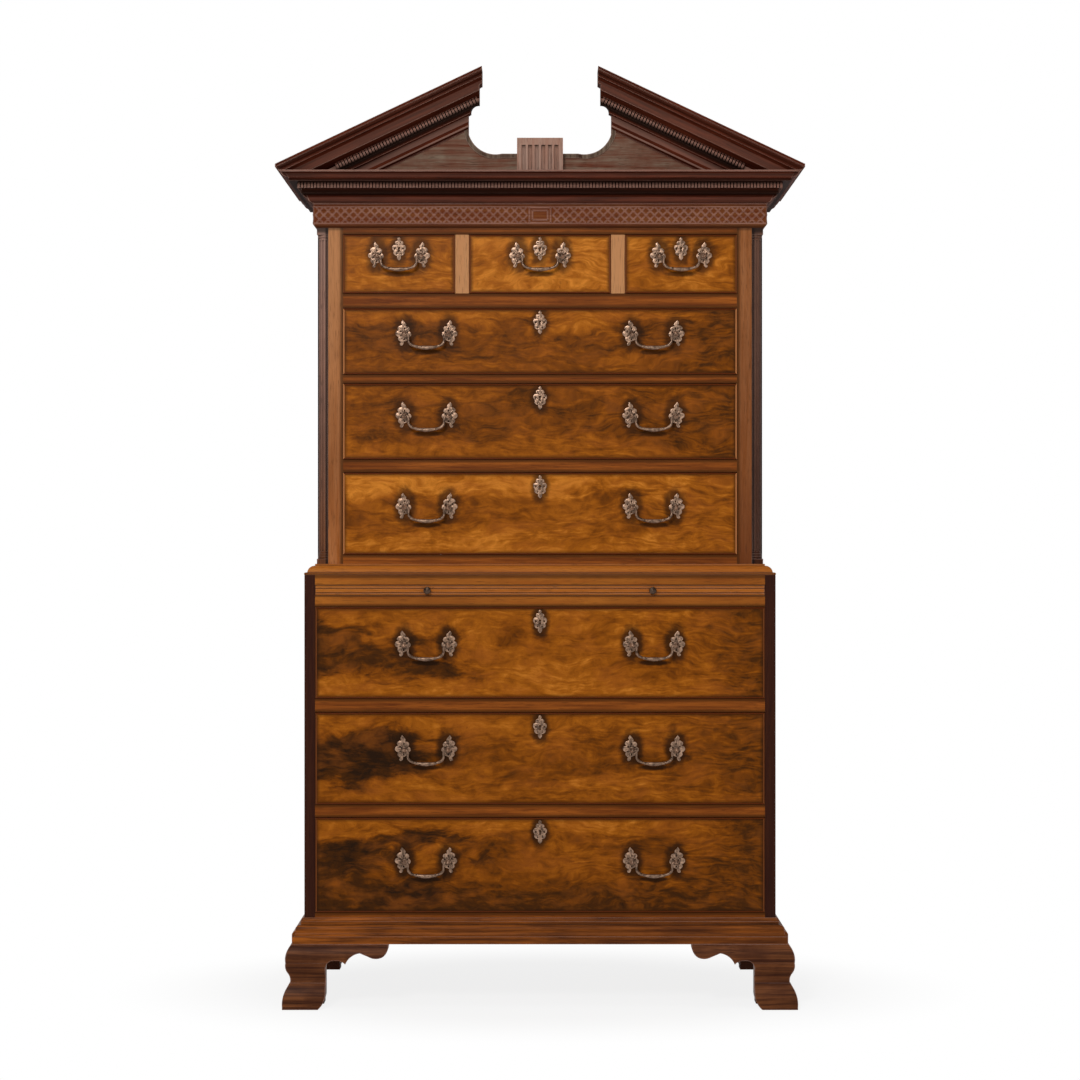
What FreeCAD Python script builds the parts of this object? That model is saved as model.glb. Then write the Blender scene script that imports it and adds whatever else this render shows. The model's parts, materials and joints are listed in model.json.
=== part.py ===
import FreeCAD, Part
import math
import os
import types
from collections import namedtuple
import Sketcher

# Mahogany chest on chest with a broken pediment, in millimetres.
# +X is the viewer's right, the drawers face -Y, +Z is up.
# The origin is on the floor, at the middle of the piece's width and depth.

SIZES = (
    # alias, value, what it is
    ("lower_width", 1108, "outside width of the lower case"),
    ("lower_depth", 545, "front to back of the lower case"),
    ("lower_side", 25, "thickness of a lower case side"),
    ("upper_setback", 27, "how far the upper case stands in from the lower, at the front and each side"),
    ("upper_side", 20, "thickness of an upper case side"),
    ("column_size", 27, "square of the corner that a quarter column fills"),
    ("stile_width", 34, "face width of the upright beside the upper drawers"),
    ("stile_depth", 50, "front to back of that upright"),
    ("rail_depth", 60, "front to back of a rail between drawers"),
    ("back_board", 12, "thickness of the back boards"),
    ("case_board", 20, "thickness of a case top or bottom board"),
    # heights of the lower case, from the floor up
    ("foot_height", 150, "floor to the underside of the lower case"),
    ("bottom_rail", 70, "height of the lower case's bottom rail"),
    ("lower_3_height", 225, "opening of the bottom drawer"),
    ("lower_rail_b", 29, "rail over the bottom drawer"),
    ("lower_2_height", 218, "opening of the middle lower drawer"),
    ("lower_rail_a", 31, "rail over the middle lower drawer"),
    ("lower_1_height", 217, "opening of the top lower drawer"),
    ("slide_rail", 25, "rail between the top lower drawer and the brushing slide"),
    ("slide_height", 26, "opening of the brushing slide"),
    ("lower_top_rail", 23, "rail over the brushing slide, and the lower case top behind it"),
    # heights of the upper case
    ("upper_bottom_rail", 47, "upper case's bottom rail"),
    ("upper_3_height", 196, "opening of the lowest upper drawer"),
    ("upper_rail_c", 29, "rail over the lowest upper drawer"),
    ("upper_2_height", 181, "opening of the second upper drawer"),
    ("upper_rail_b", 20, "rail over the second upper drawer"),
    ("upper_1_height", 158, "opening of the top long drawer"),
    ("upper_rail_a", 33, "rail under the short drawers"),
    ("short_height", 141, "opening of the short drawers"),
    ("upper_top_rail", 27, "rail over the short drawers"),
    ("short_middle_width", 336, "opening of the middle short drawer"),
    ("divider_width", 32, "upright between two short drawers"),
    # mouldings
    ("base_projection", 27, "how far the base moulding stands out"),
    ("base_height", 59, "height of the base moulding"),
    ("base_fascia", 18, "flat lower part of the base moulding"),
    ("base_fillet", 8, "projection of the base moulding's upper fillet"),
    ("base_cap", 16, "height of that fillet and the round over it"),
    ("waist_height", 26, "height of the waist moulding"),
    ("waist_bead", 6, "height of the bead at the foot of the waist moulding"),
    ("waist_fillet", 4, "height and thickness of the fillet at the top of the waist moulding"),
    ("mitre_spare", 10, "how far a moulding's stock runs past its mitre before it is cut"),
    ("frieze_height", 43, "height of the frieze"),
    ("frieze_projection", 7.4, "how far the frieze stands out from the upper case"),
    ("frieze_fillet", 1.5, "projection of the small fillet under the frieze"),
    ("frieze_neck", 12, "height of the small ogee under the frieze"),
    ("bed_foot", 9, "projection of the bed moulding at its foot"),
    ("bed_reach", 34, "projection of the bed moulding at its top"),
    ("bed_height", 25, "height of the bed moulding"),
    ("bed_fillet", 3, "height of the fillets of the bed moulding"),
    ("dentil_band", 23, "height of the flat band behind the dentils"),
    ("dentil_height", 14, "height of a dentil"),
    ("dentil_width", 5, "width of a dentil"),
    ("dentil_gap", 2.7, "space between two dentils"),
    ("dentil_depth", 9, "how far a dentil stands out from its band"),
    ("dentil_strip", 2, "thickness of the strip that the dentils are cut in"),
    ("corona_reach", 62, "projection of the corona"),
    ("corona_face", 8, "height of the corona's flat face"),
    ("corona_height", 23, "height of the corona with its ovolo"),
    ("shelf_reach", 78, "projection of the ovolo over the corona"),
    ("shelf_edge", 4, "height of the fillet over the ovolo"),
    ("lip_reach", 90, "projection of the cornice"),
    ("lip_height", 7, "height of the cornice's top fillet"),
    ("sima_height", 9, "height of the ogee under the top fillet"),
    # pediment
    ("pediment_pitch", 0.4735, "rise of the pediment for each millimetre along the front"),
    ("break_half", 135.4, "half the opening between the two raking cornices"),
    ("break_return", 6.5, "set-back of the lower mouldings at the break"),
    ("break_lip", 35, "height of the upper moulding at the break"),
    ("break_fall", 4, "fall of the small slopes at the ends of the break"),
    ("break_face", 80, "height of the break down to its hollow"),
    ("break_foot", 105, "height of the break down to the tympanum"),
    ("tympanum_thickness", 20, "thickness of the tympanum board"),
    ("opening_half", 168, "half width of the rounded opening in the tympanum"),
    ("opening_floor", 48, "height of the tympanum under the opening"),
    ("opening_corner_wide", 78, "width of the opening's rounded corner"),
    ("opening_corner_high", 46, "height of the opening's rounded corner"),
    ("brace_depth", 110, "front to back of a brace behind the tympanum"),
    ("brace_height", 120, "height of a brace behind the tympanum"),
    ("brace_thickness", 18, "thickness of a brace behind the tympanum"),
    ("brace_place", 330, "distance of the outer braces from the middle"),
    ("plinth_width", 108, "width of the central plinth"),
    ("plinth_height", 82, "height of the central plinth"),
    ("plinth_reach", 30, "projection of the plinth"),
    ("plinth_depth", 60, "front to back of the plinth"),
    ("plinth_cap", 14, "plain band over the plinth's flutes"),
    ("plinth_flute", 10, "width of a flute in the plinth"),
    ("plinth_flute_pitch", 15.4, "distance between the flutes of the plinth"),
    # feet
    ("foot_wing", 199, "length of a foot's bracket along the case"),
    ("foot_top", 28, "projection of a foot at its top"),
    ("foot_swell", 41, "projection of a foot at its swelling"),
    ("foot_swell_height", 108, "height of that swelling"),
    ("foot_waist", 31, "projection of a foot at its narrowest"),
    ("foot_waist_height", 60, "height of that place"),
    ("foot_toe", 48, "projection of a foot's toe"),
    ("foot_toe_edge", 6, "height of the toe's upright edge"),
    ("toe_inset", 35, "inner edge of the toe, from the corner of the case"),
    ("ankle_inset", 52.5, "inner edge of the ankle, from the corner of the case"),
    ("ankle_height", 92, "top of the ankle's inner edge"),
    ("heel_height", 40, "where the ankle's inner edge starts to sweep to the toe"),
    ("arch_drop", 36.5, "crown of the arch beside the ankle, below the case"),
    ("arch_inset", 75.5, "the same crown, from the corner of the case"),
    ("cusp_drop", 45.4, "cusp of the bracket, below the case"),
    ("cusp_inset", 99, "the cusp, from the corner of the case"),
    ("hollow_drop", 19.5, "hollow beyond the cusp, below the case"),
    ("hollow_inset", 133, "that hollow, from the corner of the case"),
    ("lobe_drop", 29, "the bracket's end lobe, below the case"),
    ("lobe_inner", 154, "where the lobe starts, from the corner of the case"),
    ("lobe_outer", 185, "where the lobe ends, from the corner of the case"),
    ("foot_block", 46, "square of the glue block inside a foot"),
    ("rear_bracket", 22, "thickness of the plain bracket at the back"),
    # columns
    ("shaft_inset", 3, "how far the fluted shaft stands in from its square corner"),
    ("column_foot", 38, "height of the column's square foot"),
    ("column_ring", 6, "height of each ring at the ends of the shaft"),
    ("column_head", 16, "height of the column's square head"),
    ("column_flute", 2.6, "radius of a flute"),
    # drawers
    ("drawer_back_gap", 33, "space behind a shut drawer"),
    ("slide_back_gap", 103, "space behind the shut brushing slide"),
    ("drawer_gap", 1, "gap round a drawer in its opening"),
    ("run_gap", 0.3, "running gap under a drawer or the slide"),
    ("bead_width", 3.5, "width of a cock bead"),
    ("bead_proud", 2.5, "how far a cock bead stands out from the drawer front"),
    ("front_thickness", 20, "thickness of a drawer front"),
    ("box_side", 10, "thickness of a drawer's sides and back"),
    ("box_top_gap", 6, "how far a drawer side stops below the opening's top"),
    ("box_bottom", 7, "thickness of a drawer bottom"),
    ("strip_height", 8, "height of the running strips under a drawer bottom"),
    ("strip_width", 12, "width of a running strip"),
    ("tail_length", 12, "length of a dovetail in the drawer front"),
    ("tail_width", 22, "width of a dovetail at its tip"),
    ("tail_slope", 3, "how much a dovetail narrows on each edge"),
    ("tail_pitch", 36, "distance between two dovetails"),
    ("runner_thickness", 20, "thickness of a drawer runner"),
    ("runner_width", 40, "width of a drawer runner"),
    ("dustboard_thickness", 8, "thickness of a dustboard"),
    ("dustboard_drop", 6, "how far a dustboard lies below its runner"),
    ("guide_height", 30, "height of a drawer guide"),
    # brasses
    ("handle_offset", 268, "middle of a handle of a long drawer, from the drawer's middle"),
    ("post_spacing", 103, "distance between the two posts of a handle"),
    ("short_post_height", 88.5, "posts of the short drawers, above the opening's foot"),
    ("upper_1_post_height", 95, "posts of the top long drawer, above the opening's foot"),
    ("upper_2_post_height", 102.5, "posts of the second long drawer"),
    ("upper_3_post_height", 112.5, "posts of the third long drawer"),
    ("lower_1_post_height", 126.5, "posts of the top lower drawer"),
    ("lower_2_post_height", 129.5, "posts of the middle lower drawer"),
    ("lower_3_post_height", 120.5, "posts of the bottom drawer"),
    ("post_radius", 2.5, "radius of a post's shank"),
    ("post_reach", 18, "bail axis in front of the drawer front"),
    ("post_ball", 6, "radius of a post's ball"),
    ("post_collar", 5, "radius of a post's collar"),
    ("collar_height", 6, "length of a post's collar"),
    ("post_tail", 8, "length of a post behind the drawer front"),
    ("fit_gap", 0.1, "radial running clearance of a pin or a shank in its hole"),
    ("nut_radius", 7, "radius of a post's nut"),
    ("nut_thickness", 4, "thickness of a post's nut"),
    ("plate_thickness", 2.5, "thickness of the cast plates"),
    ("rosette_width", 36, "width of a post's plate"),
    ("rosette_rise", 36, "height of that plate above its post"),
    ("rosette_fall", 26, "depth of that plate below its post"),
    ("escutcheon_width", 33, "width of a keyhole plate"),
    ("escutcheon_height", 54, "height of a keyhole plate"),
    ("escutcheon_drop", 36, "middle of a keyhole plate, below the top of the opening"),
    ("keyhole_radius", 2.4, "radius of a keyhole"),
    ("lock_width", 56, "width of a lock"),
    ("lock_height", 42, "height of a lock"),
    ("lock_thickness", 9, "thickness of a lock"),
    ("bolt_width", 16, "width of a lock's bolt"),
    ("bolt_height", 4, "how far the bolt stands out of its lock"),
    ("bail_radius", 3, "radius of the bail's bow"),
    ("bail_pin", 2, "radius of the bail's pins"),
    ("bail_shoulder", 10.5, "bail's arm, inside the middle of its post"),
    ("bail_drop", 32.5, "depth of the bail's bow below its pins"),
    ("bail_bend", 16, "size of the bow's lower bends"),
    ("knob_offset", 265, "knobs of the brushing slide, from its middle"),
    ("knob_radius", 9, "radius of a knob"),
    ("knob_neck", 4, "radius of a knob's neck"),
    ("knob_reach", 15, "how far a knob stands out"),
)


class Size:
    """A length that knows its value and the expression that gives it."""

    def __init__(self, value, text=None):
        self.value = float(value)
        self.text = text or f"({value})"

    def combine(self, sign, other, value):
        return Size(value, f"({self.text} {sign} {size(other).text})")

    def __add__(self, other):
        return self.combine("+", other, self.value + size(other).value)

    def __sub__(self, other):
        return self.combine("-", other, self.value - size(other).value)

    def __mul__(self, other):
        return self.combine("*", other, self.value * size(other).value)

    def __truediv__(self, other):
        return self.combine("/", other, self.value / size(other).value)

    def __neg__(self):
        return size(0) - self

    __radd__ = __add__
    __rmul__ = __mul__

    def __rsub__(self, other):
        return size(other) - self


def size(length):
    return length if isinstance(length, Size) else Size(length)


doc = FreeCAD.newDocument("ChestOnChest")
sheet = doc.addObject("Spreadsheet::Sheet", "Sizes")
for row, (alias, value, note) in enumerate(SIZES, 1):
    sheet.set(f"A{row}", note)
    sheet.set(f"B{row}", str(value))
    sheet.setAlias(f"B{row}", alias)
doc.recompute()
s = types.SimpleNamespace(**{alias: Size(sheet.get(alias), f"Sizes.{alias}") for alias, _, _ in SIZES})

# ---------------------------------------------------------------- helpers

Round = namedtuple("Round", "swell")
Ogee = namedtuple("Ogee", "swell")
NODES = []


def bind(item, sizes):
    """Ties properties of a document object to the sheet."""
    for name, length in sizes.items():
        item.setExpression(name, size(length).text)


def place(item, x, y, z):
    bind(item, {"Placement.Base.x": x, "Placement.Base.y": y, "Placement.Base.z": z})
    return item


def box(name, low, high):
    """A board between its lowest and highest corners."""
    item = doc.addObject("Part::Box", name)
    spans = [top - bottom for bottom, top in zip(low, high)]
    bind(item, dict(zip(("Length", "Width", "Height"), spans)))
    return place(item, *low)


def midway(start, end, swell):
    """The point halfway along a curve that swells to the left of its chord."""
    across, up = end[0] - start[0], end[1] - start[1]
    return (start[0] + across / 2 - up * swell, start[1] + up / 2 + across * swell)


def edges(outline):
    """Lines (start, end) and arcs (start, middle, end) of a closed outline of points and curve marks."""
    start, curve = outline[0], None
    for item in outline[1:] + [outline[0]]:
        if isinstance(item, (Round, Ogee)):
            curve = item
            continue
        if curve is None:
            yield start, item
        elif isinstance(curve, Round):
            yield start, midway(start, item, curve.swell), item
        else:
            half = ((start[0] + item[0]) / 2, (start[1] + item[1]) / 2)
            yield start, midway(start, half, curve.swell), half
            yield half, midway(half, item, -curve.swell), item
        start, curve = item, None


def vector(point):
    return FreeCAD.Vector(size(point[0]).value, size(point[1]).value, 0)


def draw(sketch, outline):
    """Draws a closed outline of lines and arcs, every corner tied to the sheet."""
    rules, ends = [], []

    def fix(geometry, corner, point):
        for kind, length in zip(("DistanceX", "DistanceY"), map(size, point)):
            rules.append((Sketcher.Constraint(kind, -1, 1, geometry, corner, length.value), length.text))

    for edge in edges(outline):
        start, end = vector(edge[0]), vector(edge[-1])
        if len(edge) == 2:
            line = sketch.addGeometry(Part.LineSegment(start, end))
            ends.append((line, 1, 2, edge[0]))
            continue
        crown = vector(edge[1])
        if (crown - start).cross(end - crown).z > 0:
            arc = sketch.addGeometry(Part.Arc(start, crown, end))
            ends.append((arc, 1, 2, edge[0]))
        else:
            arc = sketch.addGeometry(Part.Arc(end, crown, start))
            ends.append((arc, 2, 1, edge[0]))
        point = sketch.addGeometry(Part.Point(crown), True)
        fix(point, 1, edge[1])
        rules.append((Sketcher.Constraint("PointOnObject", point, 1, arc), None))
    for (edge, first, last, point), (following, opening, _, _) in zip(ends, ends[1:] + ends[:1]):
        rules.append((Sketcher.Constraint("Coincident", edge, last, following, opening), None))
        fix(edge, first, point)
    sketch.addConstraint([rule for rule, _ in rules])
    for place_of, (_, text) in enumerate(rules):
        if text:
            sketch.setExpression(f"Constraints[{place_of}]", text)


def sketch_on(body, plane):
    sketch = body.newObject("Sketcher::SketchObject", body.Name + "_sketch")
    base = [item for item in body.Origin.OriginFeatures if item.Role == plane + "_Plane"][0]
    sketch.AttachmentSupport = [(base, "")]
    sketch.MapMode = "FlatFace"
    return sketch


def prism(name, plane, outline, low, high):
    """A pad of an outline in the XY, XZ or YZ plane, between two places on the third axis."""
    low, high = size(low), size(high)
    body = doc.addObject("PartDesign::Body", name)
    sketch = sketch_on(body, plane)
    draw(sketch, outline)
    bind(sketch, {"AttachmentOffset.Base.z": -high if plane == "XZ" else low})
    pad = body.newObject("PartDesign::Pad", name + "_pad")
    pad.Profile = sketch
    bind(pad, {"Length": high - low})
    sketch.Visibility = False
    return body


def turned(name, outline):
    """An outline of (radius, height) turned about the body's own Z axis."""
    body = doc.addObject("PartDesign::Body", name)
    sketch = sketch_on(body, "XZ")
    draw(sketch, outline)
    turn = body.newObject("PartDesign::Revolution", name + "_turn")
    turn.Profile = sketch
    turn.ReferenceAxis = (sketch, ["V_Axis"])
    turn.Angle = 360
    return body


def cylinder(name, radius, height, quarter=False):
    item = doc.addObject("Part::Cylinder", name)
    bind(item, {"Radius": radius, "Height": height})
    item.Angle = 90 if quarter else 360
    return item


def turn(item, axis, angle):
    """Turns a piece about its own origin, before it is placed."""
    item.Placement = FreeCAD.Placement(FreeCAD.Vector(), FreeCAD.Rotation(FreeCAD.Vector(*axis), angle))
    return item


def common(name, *pieces):
    item = doc.addObject("Part::MultiCommon", name)
    item.Shapes = list(pieces)
    return item


def fused(name, *pieces):
    item = doc.addObject("Part::MultiFuse", name)
    item.Shapes = list(pieces)
    return item


def cut(name, base, *tools):
    item = doc.addObject("Part::Cut", name)
    item.Base = base
    item.Tool = tools[0] if len(tools) == 1 else group(name + "_tools", *tools)
    return item


def group(name, *pieces):
    item = doc.addObject("Part::Compound", name)
    item.Links = list(pieces)
    return item


def mirrored(name, source, normal, x=0, y=0):
    """A mirror copy in an upright plane through a point."""
    item = doc.addObject("Part::Mirroring", name)
    item.Source = source
    item.Normal = FreeCAD.Vector(*normal)
    bind(item, {"Base.x": x, "Base.y": y})
    return item


def copy_of(name, source, x, y, z):
    """One more of a casting or a turned part, set in its place."""
    item = doc.addObject("Part::Feature", name)
    item.Shape = source.Shape.copy()
    return place(item, x, y, z)


def node(label, *pieces):
    """Names a sub-part: one piece, or a group of like pieces that stay separate solids."""
    item = pieces[0] if len(pieces) == 1 else group(label, *pieces)
    item.Label = label
    NODES.append(item)
    return item


def profile(outline, spot):
    """An outline of (projection, height) set against a face by a rule for each point."""
    return [item if isinstance(item, (Round, Ogee)) else spot(*item) for item in outline]


# ---------------------------------------------------------------- levels and faces

back = (s.lower_depth + s.lip_reach - s.upper_setback) / 2
lower_front = back - s.lower_depth
upper_front = lower_front + s.upper_setback
lower_half = s.lower_width / 2
upper_half = lower_half - s.upper_setback
inner_back = back - s.back_board
lower_opening = lower_half - s.lower_side
upper_opening = upper_half - s.column_size - s.stile_width
column_inner = upper_half - s.column_size
upper_inner = upper_half - s.upper_side

lower_3_foot = s.foot_height + s.bottom_rail
lower_2_foot = lower_3_foot + s.lower_3_height + s.lower_rail_b
lower_1_foot = lower_2_foot + s.lower_2_height + s.lower_rail_a
slide_foot = lower_1_foot + s.lower_1_height + s.slide_rail
lower_top = slide_foot + s.slide_height + s.lower_top_rail

upper_3_foot = lower_top + s.upper_bottom_rail
upper_2_foot = upper_3_foot + s.upper_3_height + s.upper_rail_c
upper_1_foot = upper_2_foot + s.upper_2_height + s.upper_rail_b
short_foot = upper_1_foot + s.upper_1_height + s.upper_rail_a
short_top = short_foot + s.short_height
frieze_foot = short_top + s.upper_top_rail
frieze_top = frieze_foot + s.frieze_height
column_top = frieze_foot - s.frieze_neck
bed_top = frieze_top + s.bed_height
corona_foot = bed_top + s.dentil_band
case_top = corona_foot + s.corona_height
lip_foot = case_top - s.shelf_edge + s.sima_height
eaves = lip_foot + s.lip_height
peak = eaves + s.pediment_pitch * (upper_half + s.lip_reach - s.break_half)


# ---------------------------------------------------------------- lower case

def pair(name, low, high):
    """A board on the right and its twin on the left."""
    mirror_low = (-high[0], low[1], low[2])
    mirror_high = (-low[0], high[1], high[2])
    return [box(name + "_right", low, high), box(name + "_left", mirror_low, mirror_high)]


def rail(name, half, front, foot, height):
    """A board across the front between two drawer openings."""
    return box(name, (-half, front, foot), (half, front + s.rail_depth, foot + height))


node("lower_sides", *pair("lower_side_board", (lower_opening, lower_front, s.foot_height),
                          (lower_half, back, lower_top)))

lower_rails = [
    rail("lower_rail_bottom", lower_opening, lower_front, s.foot_height, s.bottom_rail),
    rail("lower_rail_over_3", lower_opening, lower_front, lower_3_foot + s.lower_3_height, s.lower_rail_b),
    rail("lower_rail_over_2", lower_opening, lower_front, lower_2_foot + s.lower_2_height, s.lower_rail_a),
    rail("lower_rail_over_1", lower_opening, lower_front, lower_1_foot + s.lower_1_height, s.slide_rail),
    rail("lower_rail_top", lower_opening, lower_front, slide_foot + s.slide_height, s.lower_top_rail),
]
node("lower_rails", *lower_rails)

rail_back_lower = lower_front + s.rail_depth
rail_back_upper = upper_front + s.rail_depth

node(
    "case_tops_and_bottoms",
    box("lower_bottom_board", (-lower_opening, rail_back_lower, lower_3_foot - s.case_board),
        (lower_opening, inner_back, lower_3_foot)),
    box("lower_top_board", (-lower_opening, rail_back_lower, slide_foot + s.slide_height),
        (lower_opening, inner_back, lower_top)),
    box("upper_bottom_board", (-upper_inner, rail_back_upper, lower_top),
        (upper_inner, inner_back, lower_top + s.case_board)),
    box("upper_top_board", (-upper_inner, upper_front + s.stile_depth, case_top - s.case_board),
        (upper_inner, inner_back, case_top)),
)


# ---------------------------------------------------------------- upper case

node("upper_sides", *pair("upper_side_board", (upper_inner, upper_front + s.column_size, lower_top),
                          (upper_half, back, case_top)))

stile_outline = [
    (upper_opening, upper_front),
    (column_inner, upper_front),
    (column_inner, upper_front + s.column_size),
    (upper_inner, upper_front + s.column_size),
    (upper_inner, upper_front + s.stile_depth),
    (upper_opening, upper_front + s.stile_depth),
]
stile = prism("stile_right", "XY", stile_outline, lower_top, case_top)
short_half = s.short_middle_width / 2
short_inner = short_half + s.divider_width
divider = box("divider_right", (short_half, upper_front, short_foot),
              (short_inner, rail_back_upper, short_top))

node(
    "upper_face_frame",
    stile,
    mirrored("stile_left", stile, (1, 0, 0)),
    *pair("corner_block", (column_inner, upper_front, column_top),
          (upper_half, upper_front + s.column_size, case_top)),
    rail("upper_rail_bottom", upper_opening, upper_front, lower_top, s.upper_bottom_rail),
    rail("upper_rail_over_3", upper_opening, upper_front, upper_3_foot + s.upper_3_height, s.upper_rail_c),
    rail("upper_rail_over_2", upper_opening, upper_front, upper_2_foot + s.upper_2_height, s.upper_rail_b),
    rail("upper_rail_over_1", upper_opening, upper_front, upper_1_foot + s.upper_1_height, s.upper_rail_a),
    rail("upper_rail_top", upper_opening, upper_front, short_top, s.upper_top_rail),
    box("frieze_backing", (-upper_opening, upper_front, frieze_foot),
        (upper_opening, upper_front + s.case_board, case_top)),
    divider,
    mirrored("divider_left", divider, (1, 0, 0)),
)


# ---------------------------------------------------------------- runners and dustboards

def level(name, outer, inner_edge, front, top):
    """The two runners of a drawer and the dustboard between them, behind a rail."""
    foot = top - s.runner_thickness
    board_top = top - s.dustboard_drop
    return pair(name + "_runner", (inner_edge, front, foot), (outer, inner_back, top)) + [
        box(name + "_dustboard", (-inner_edge, front, board_top - s.dustboard_thickness),
            (inner_edge, inner_back, board_top)),
    ]


lower_edge = lower_opening - s.runner_width
upper_edge = upper_opening - s.box_side - s.strip_width
runners = []
for name, top in (("lower_2", lower_2_foot), ("lower_1", lower_1_foot), ("slide", slide_foot)):
    runners += level(name, lower_opening, lower_edge, rail_back_lower, top)
for name, top in (("upper_3", upper_3_foot), ("upper_2", upper_2_foot), ("upper_1", upper_1_foot)):
    runners += level(name, upper_inner, upper_edge, rail_back_upper, top)
    runners += pair(name + "_guide", (upper_opening, rail_back_upper, top),
                    (upper_inner, inner_back, top + s.guide_height))

# the short drawers share a wide runner behind each divider
short_board_top = short_foot - s.dustboard_drop
short_board_foot = short_board_top - s.dustboard_thickness
middle_near = short_half - s.box_side - s.strip_width
middle_far = short_inner + s.box_side + s.strip_width
runners += pair("short_runner", (upper_edge, rail_back_upper, short_foot - s.runner_thickness),
                (upper_inner, inner_back, short_foot))
runners += pair("short_guide", (upper_opening, rail_back_upper, short_foot),
                (upper_inner, inner_back, short_foot + s.guide_height))
runners += pair("middle_runner", (middle_near, rail_back_upper, short_foot - s.runner_thickness),
                (middle_far, inner_back, short_foot))
runners += pair("middle_guide", (short_half, rail_back_upper, short_foot),
                (short_inner, inner_back, short_foot + s.guide_height))
runners += pair("short_dustboard", (middle_far, rail_back_upper, short_board_foot),
                (upper_edge, inner_back, short_board_top))
runners.append(box("middle_dustboard", (-middle_near, rail_back_upper, short_board_foot),
                   (middle_near, inner_back, short_board_top)))
node("drawer_runners", *runners)


# ---------------------------------------------------------------- back boards

BACK_BOARDS = 4
boards = []
for name, half, foot, top in (("lower", lower_opening, s.foot_height, lower_top),
                              ("upper", upper_inner, lower_top, case_top)):
    for place_of in range(BACK_BOARDS):
        left = half * (2 * place_of / BACK_BOARDS - 1)
        boards.append(box(f"{name}_back_board_{place_of + 1}", (left, inner_back, foot),
                          (left + half * 2 / BACK_BOARDS, back, top)))
node("back_boards", *boards)


# ---------------------------------------------------------------- mouldings round three sides

def three_sides(name, front_outline, side_outline, half, front, depth, reach):
    """A moulding along the front and both sides, mitred at the two front corners."""
    low = s.foot_height / 2
    high = peak + s.lip_reach
    front_run = common(
        name + "_front",
        prism(name + "_front_length", "YZ", profile(front_outline, lambda p, z: (front - p, z)),
              -(half + reach), half + reach),
        prism(name + "_front_mitre", "XY", [(-half - reach, front - reach), (half + reach, front - reach),
                                            (half - depth, front + depth), (-half + depth, front + depth)],
              low, high),
    )
    right_run = common(
        name + "_right",
        prism(name + "_side_length", "XZ", profile(side_outline, lambda p, z: (half + p, z)),
              front - reach, back),
        prism(name + "_side_mitre", "XY", [(half + reach, front - reach), (half + reach, back),
                                           (half - depth, back), (half - depth, front + depth)],
              low, high),
    )
    return [front_run, right_run, mirrored(name + "_left", right_run, (1, 0, 0))]


base_top = s.foot_height + s.base_height
base_fillet_foot = base_top - s.base_cap
base_outline = [
    (0, s.foot_height),
    (s.base_projection, s.foot_height),
    (s.base_projection, s.foot_height + s.base_fascia),
    Ogee(-0.22),
    (s.base_fillet + s.base_fillet / 2, base_fillet_foot),
    (s.base_fillet, base_fillet_foot),
    (s.base_fillet, base_top - s.base_cap / 2),
    Round(-0.2),
    (s.base_fillet / 3, base_top),
    (0, base_top),
]
node("base_moulding", *three_sides("base_moulding", base_outline, base_outline, lower_half, lower_front,
                                   0, s.base_projection))

waist_outline = [
    (-s.upper_setback, lower_top),
    (-s.waist_fillet / 4, lower_top),
    Round(-0.4),
    (-s.waist_fillet / 2, lower_top + s.waist_bead),
    (-s.waist_bead, lower_top + s.waist_bead),
    Round(0.2),
    (-s.upper_setback + s.waist_fillet, lower_top + s.waist_height - s.waist_fillet),
    (-s.upper_setback + s.waist_fillet, lower_top + s.waist_height),
    (-s.upper_setback, lower_top + s.waist_height),
]
node("waist_moulding", *three_sides("waist_moulding", waist_outline, waist_outline, lower_half, lower_front,
                                    s.upper_setback, s.mitre_spare))

frieze_outline = [
    (0, column_top),
    (s.frieze_fillet, column_top),
    Round(0.2),
    (s.frieze_projection, frieze_foot),
    (s.frieze_projection, frieze_top),
    (0, frieze_top),
]
node("frieze", *three_sides("frieze", frieze_outline, frieze_outline, upper_half, upper_front, 0,
                            s.frieze_projection))


# ---------------------------------------------------------------- cornice

def cornice_members(inner):
    """Bed moulding, dentil band, corona and ovolo, from a plane behind them outwards."""
    return [
        (inner, frieze_top),
        (s.bed_foot, frieze_top),
        (s.bed_foot, frieze_top + s.bed_fillet),
        Ogee(0.2),
        (s.bed_reach - s.bed_fillet, bed_top - s.bed_fillet),
        (s.bed_reach, bed_top - s.bed_fillet),
        (s.bed_reach, corona_foot),
        (s.corona_reach, corona_foot),
        (s.corona_reach, corona_foot + s.corona_face),
        Round(-0.2),
        (s.shelf_reach, case_top - s.shelf_edge),
    ]


def roof(p):
    """Height of the pediment's roof plane over the side cornice, at a projection from the case."""
    return eaves + s.pediment_pitch * (s.lip_reach - p)


def side_members(inner):
    return cornice_members(inner) + [
        Ogee(-0.2),
        (s.lip_reach - 2, lip_foot),
        (s.lip_reach, lip_foot),
        (s.lip_reach, eaves),
        (inner, roof(inner)),
    ]


def dentils(name, start, along, outward, down, length):
    """A strip cut into dentils: start is its inner top corner, and the three directions are vectors."""
    pitch = s.dentil_width.value + s.dentil_gap.value
    count = int((length - s.dentil_width.value) / pitch)
    margin = (length - count * pitch - s.dentil_width.value) / 2
    line = [(0, 0)]
    for tooth in range(count + 1):
        left = margin + tooth * pitch
        right = left + s.dentil_width.value
        line += [(left, s.dentil_strip.value), (left, s.dentil_depth.value),
                 (right, s.dentil_depth.value), (right, s.dentil_strip.value)]
    line.insert(1, (0, s.dentil_strip.value))
    line += [(length, s.dentil_strip.value), (length, 0), (0, 0)]
    corners = [start + along * run + outward * out for run, out in line]
    item = doc.addObject("Part::Feature", name)
    item.Shape = Part.Face(Part.makePolygon(corners)).extrude(down * s.dentil_height.value)
    item.Placement = FreeCAD.Placement()
    return item


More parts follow.
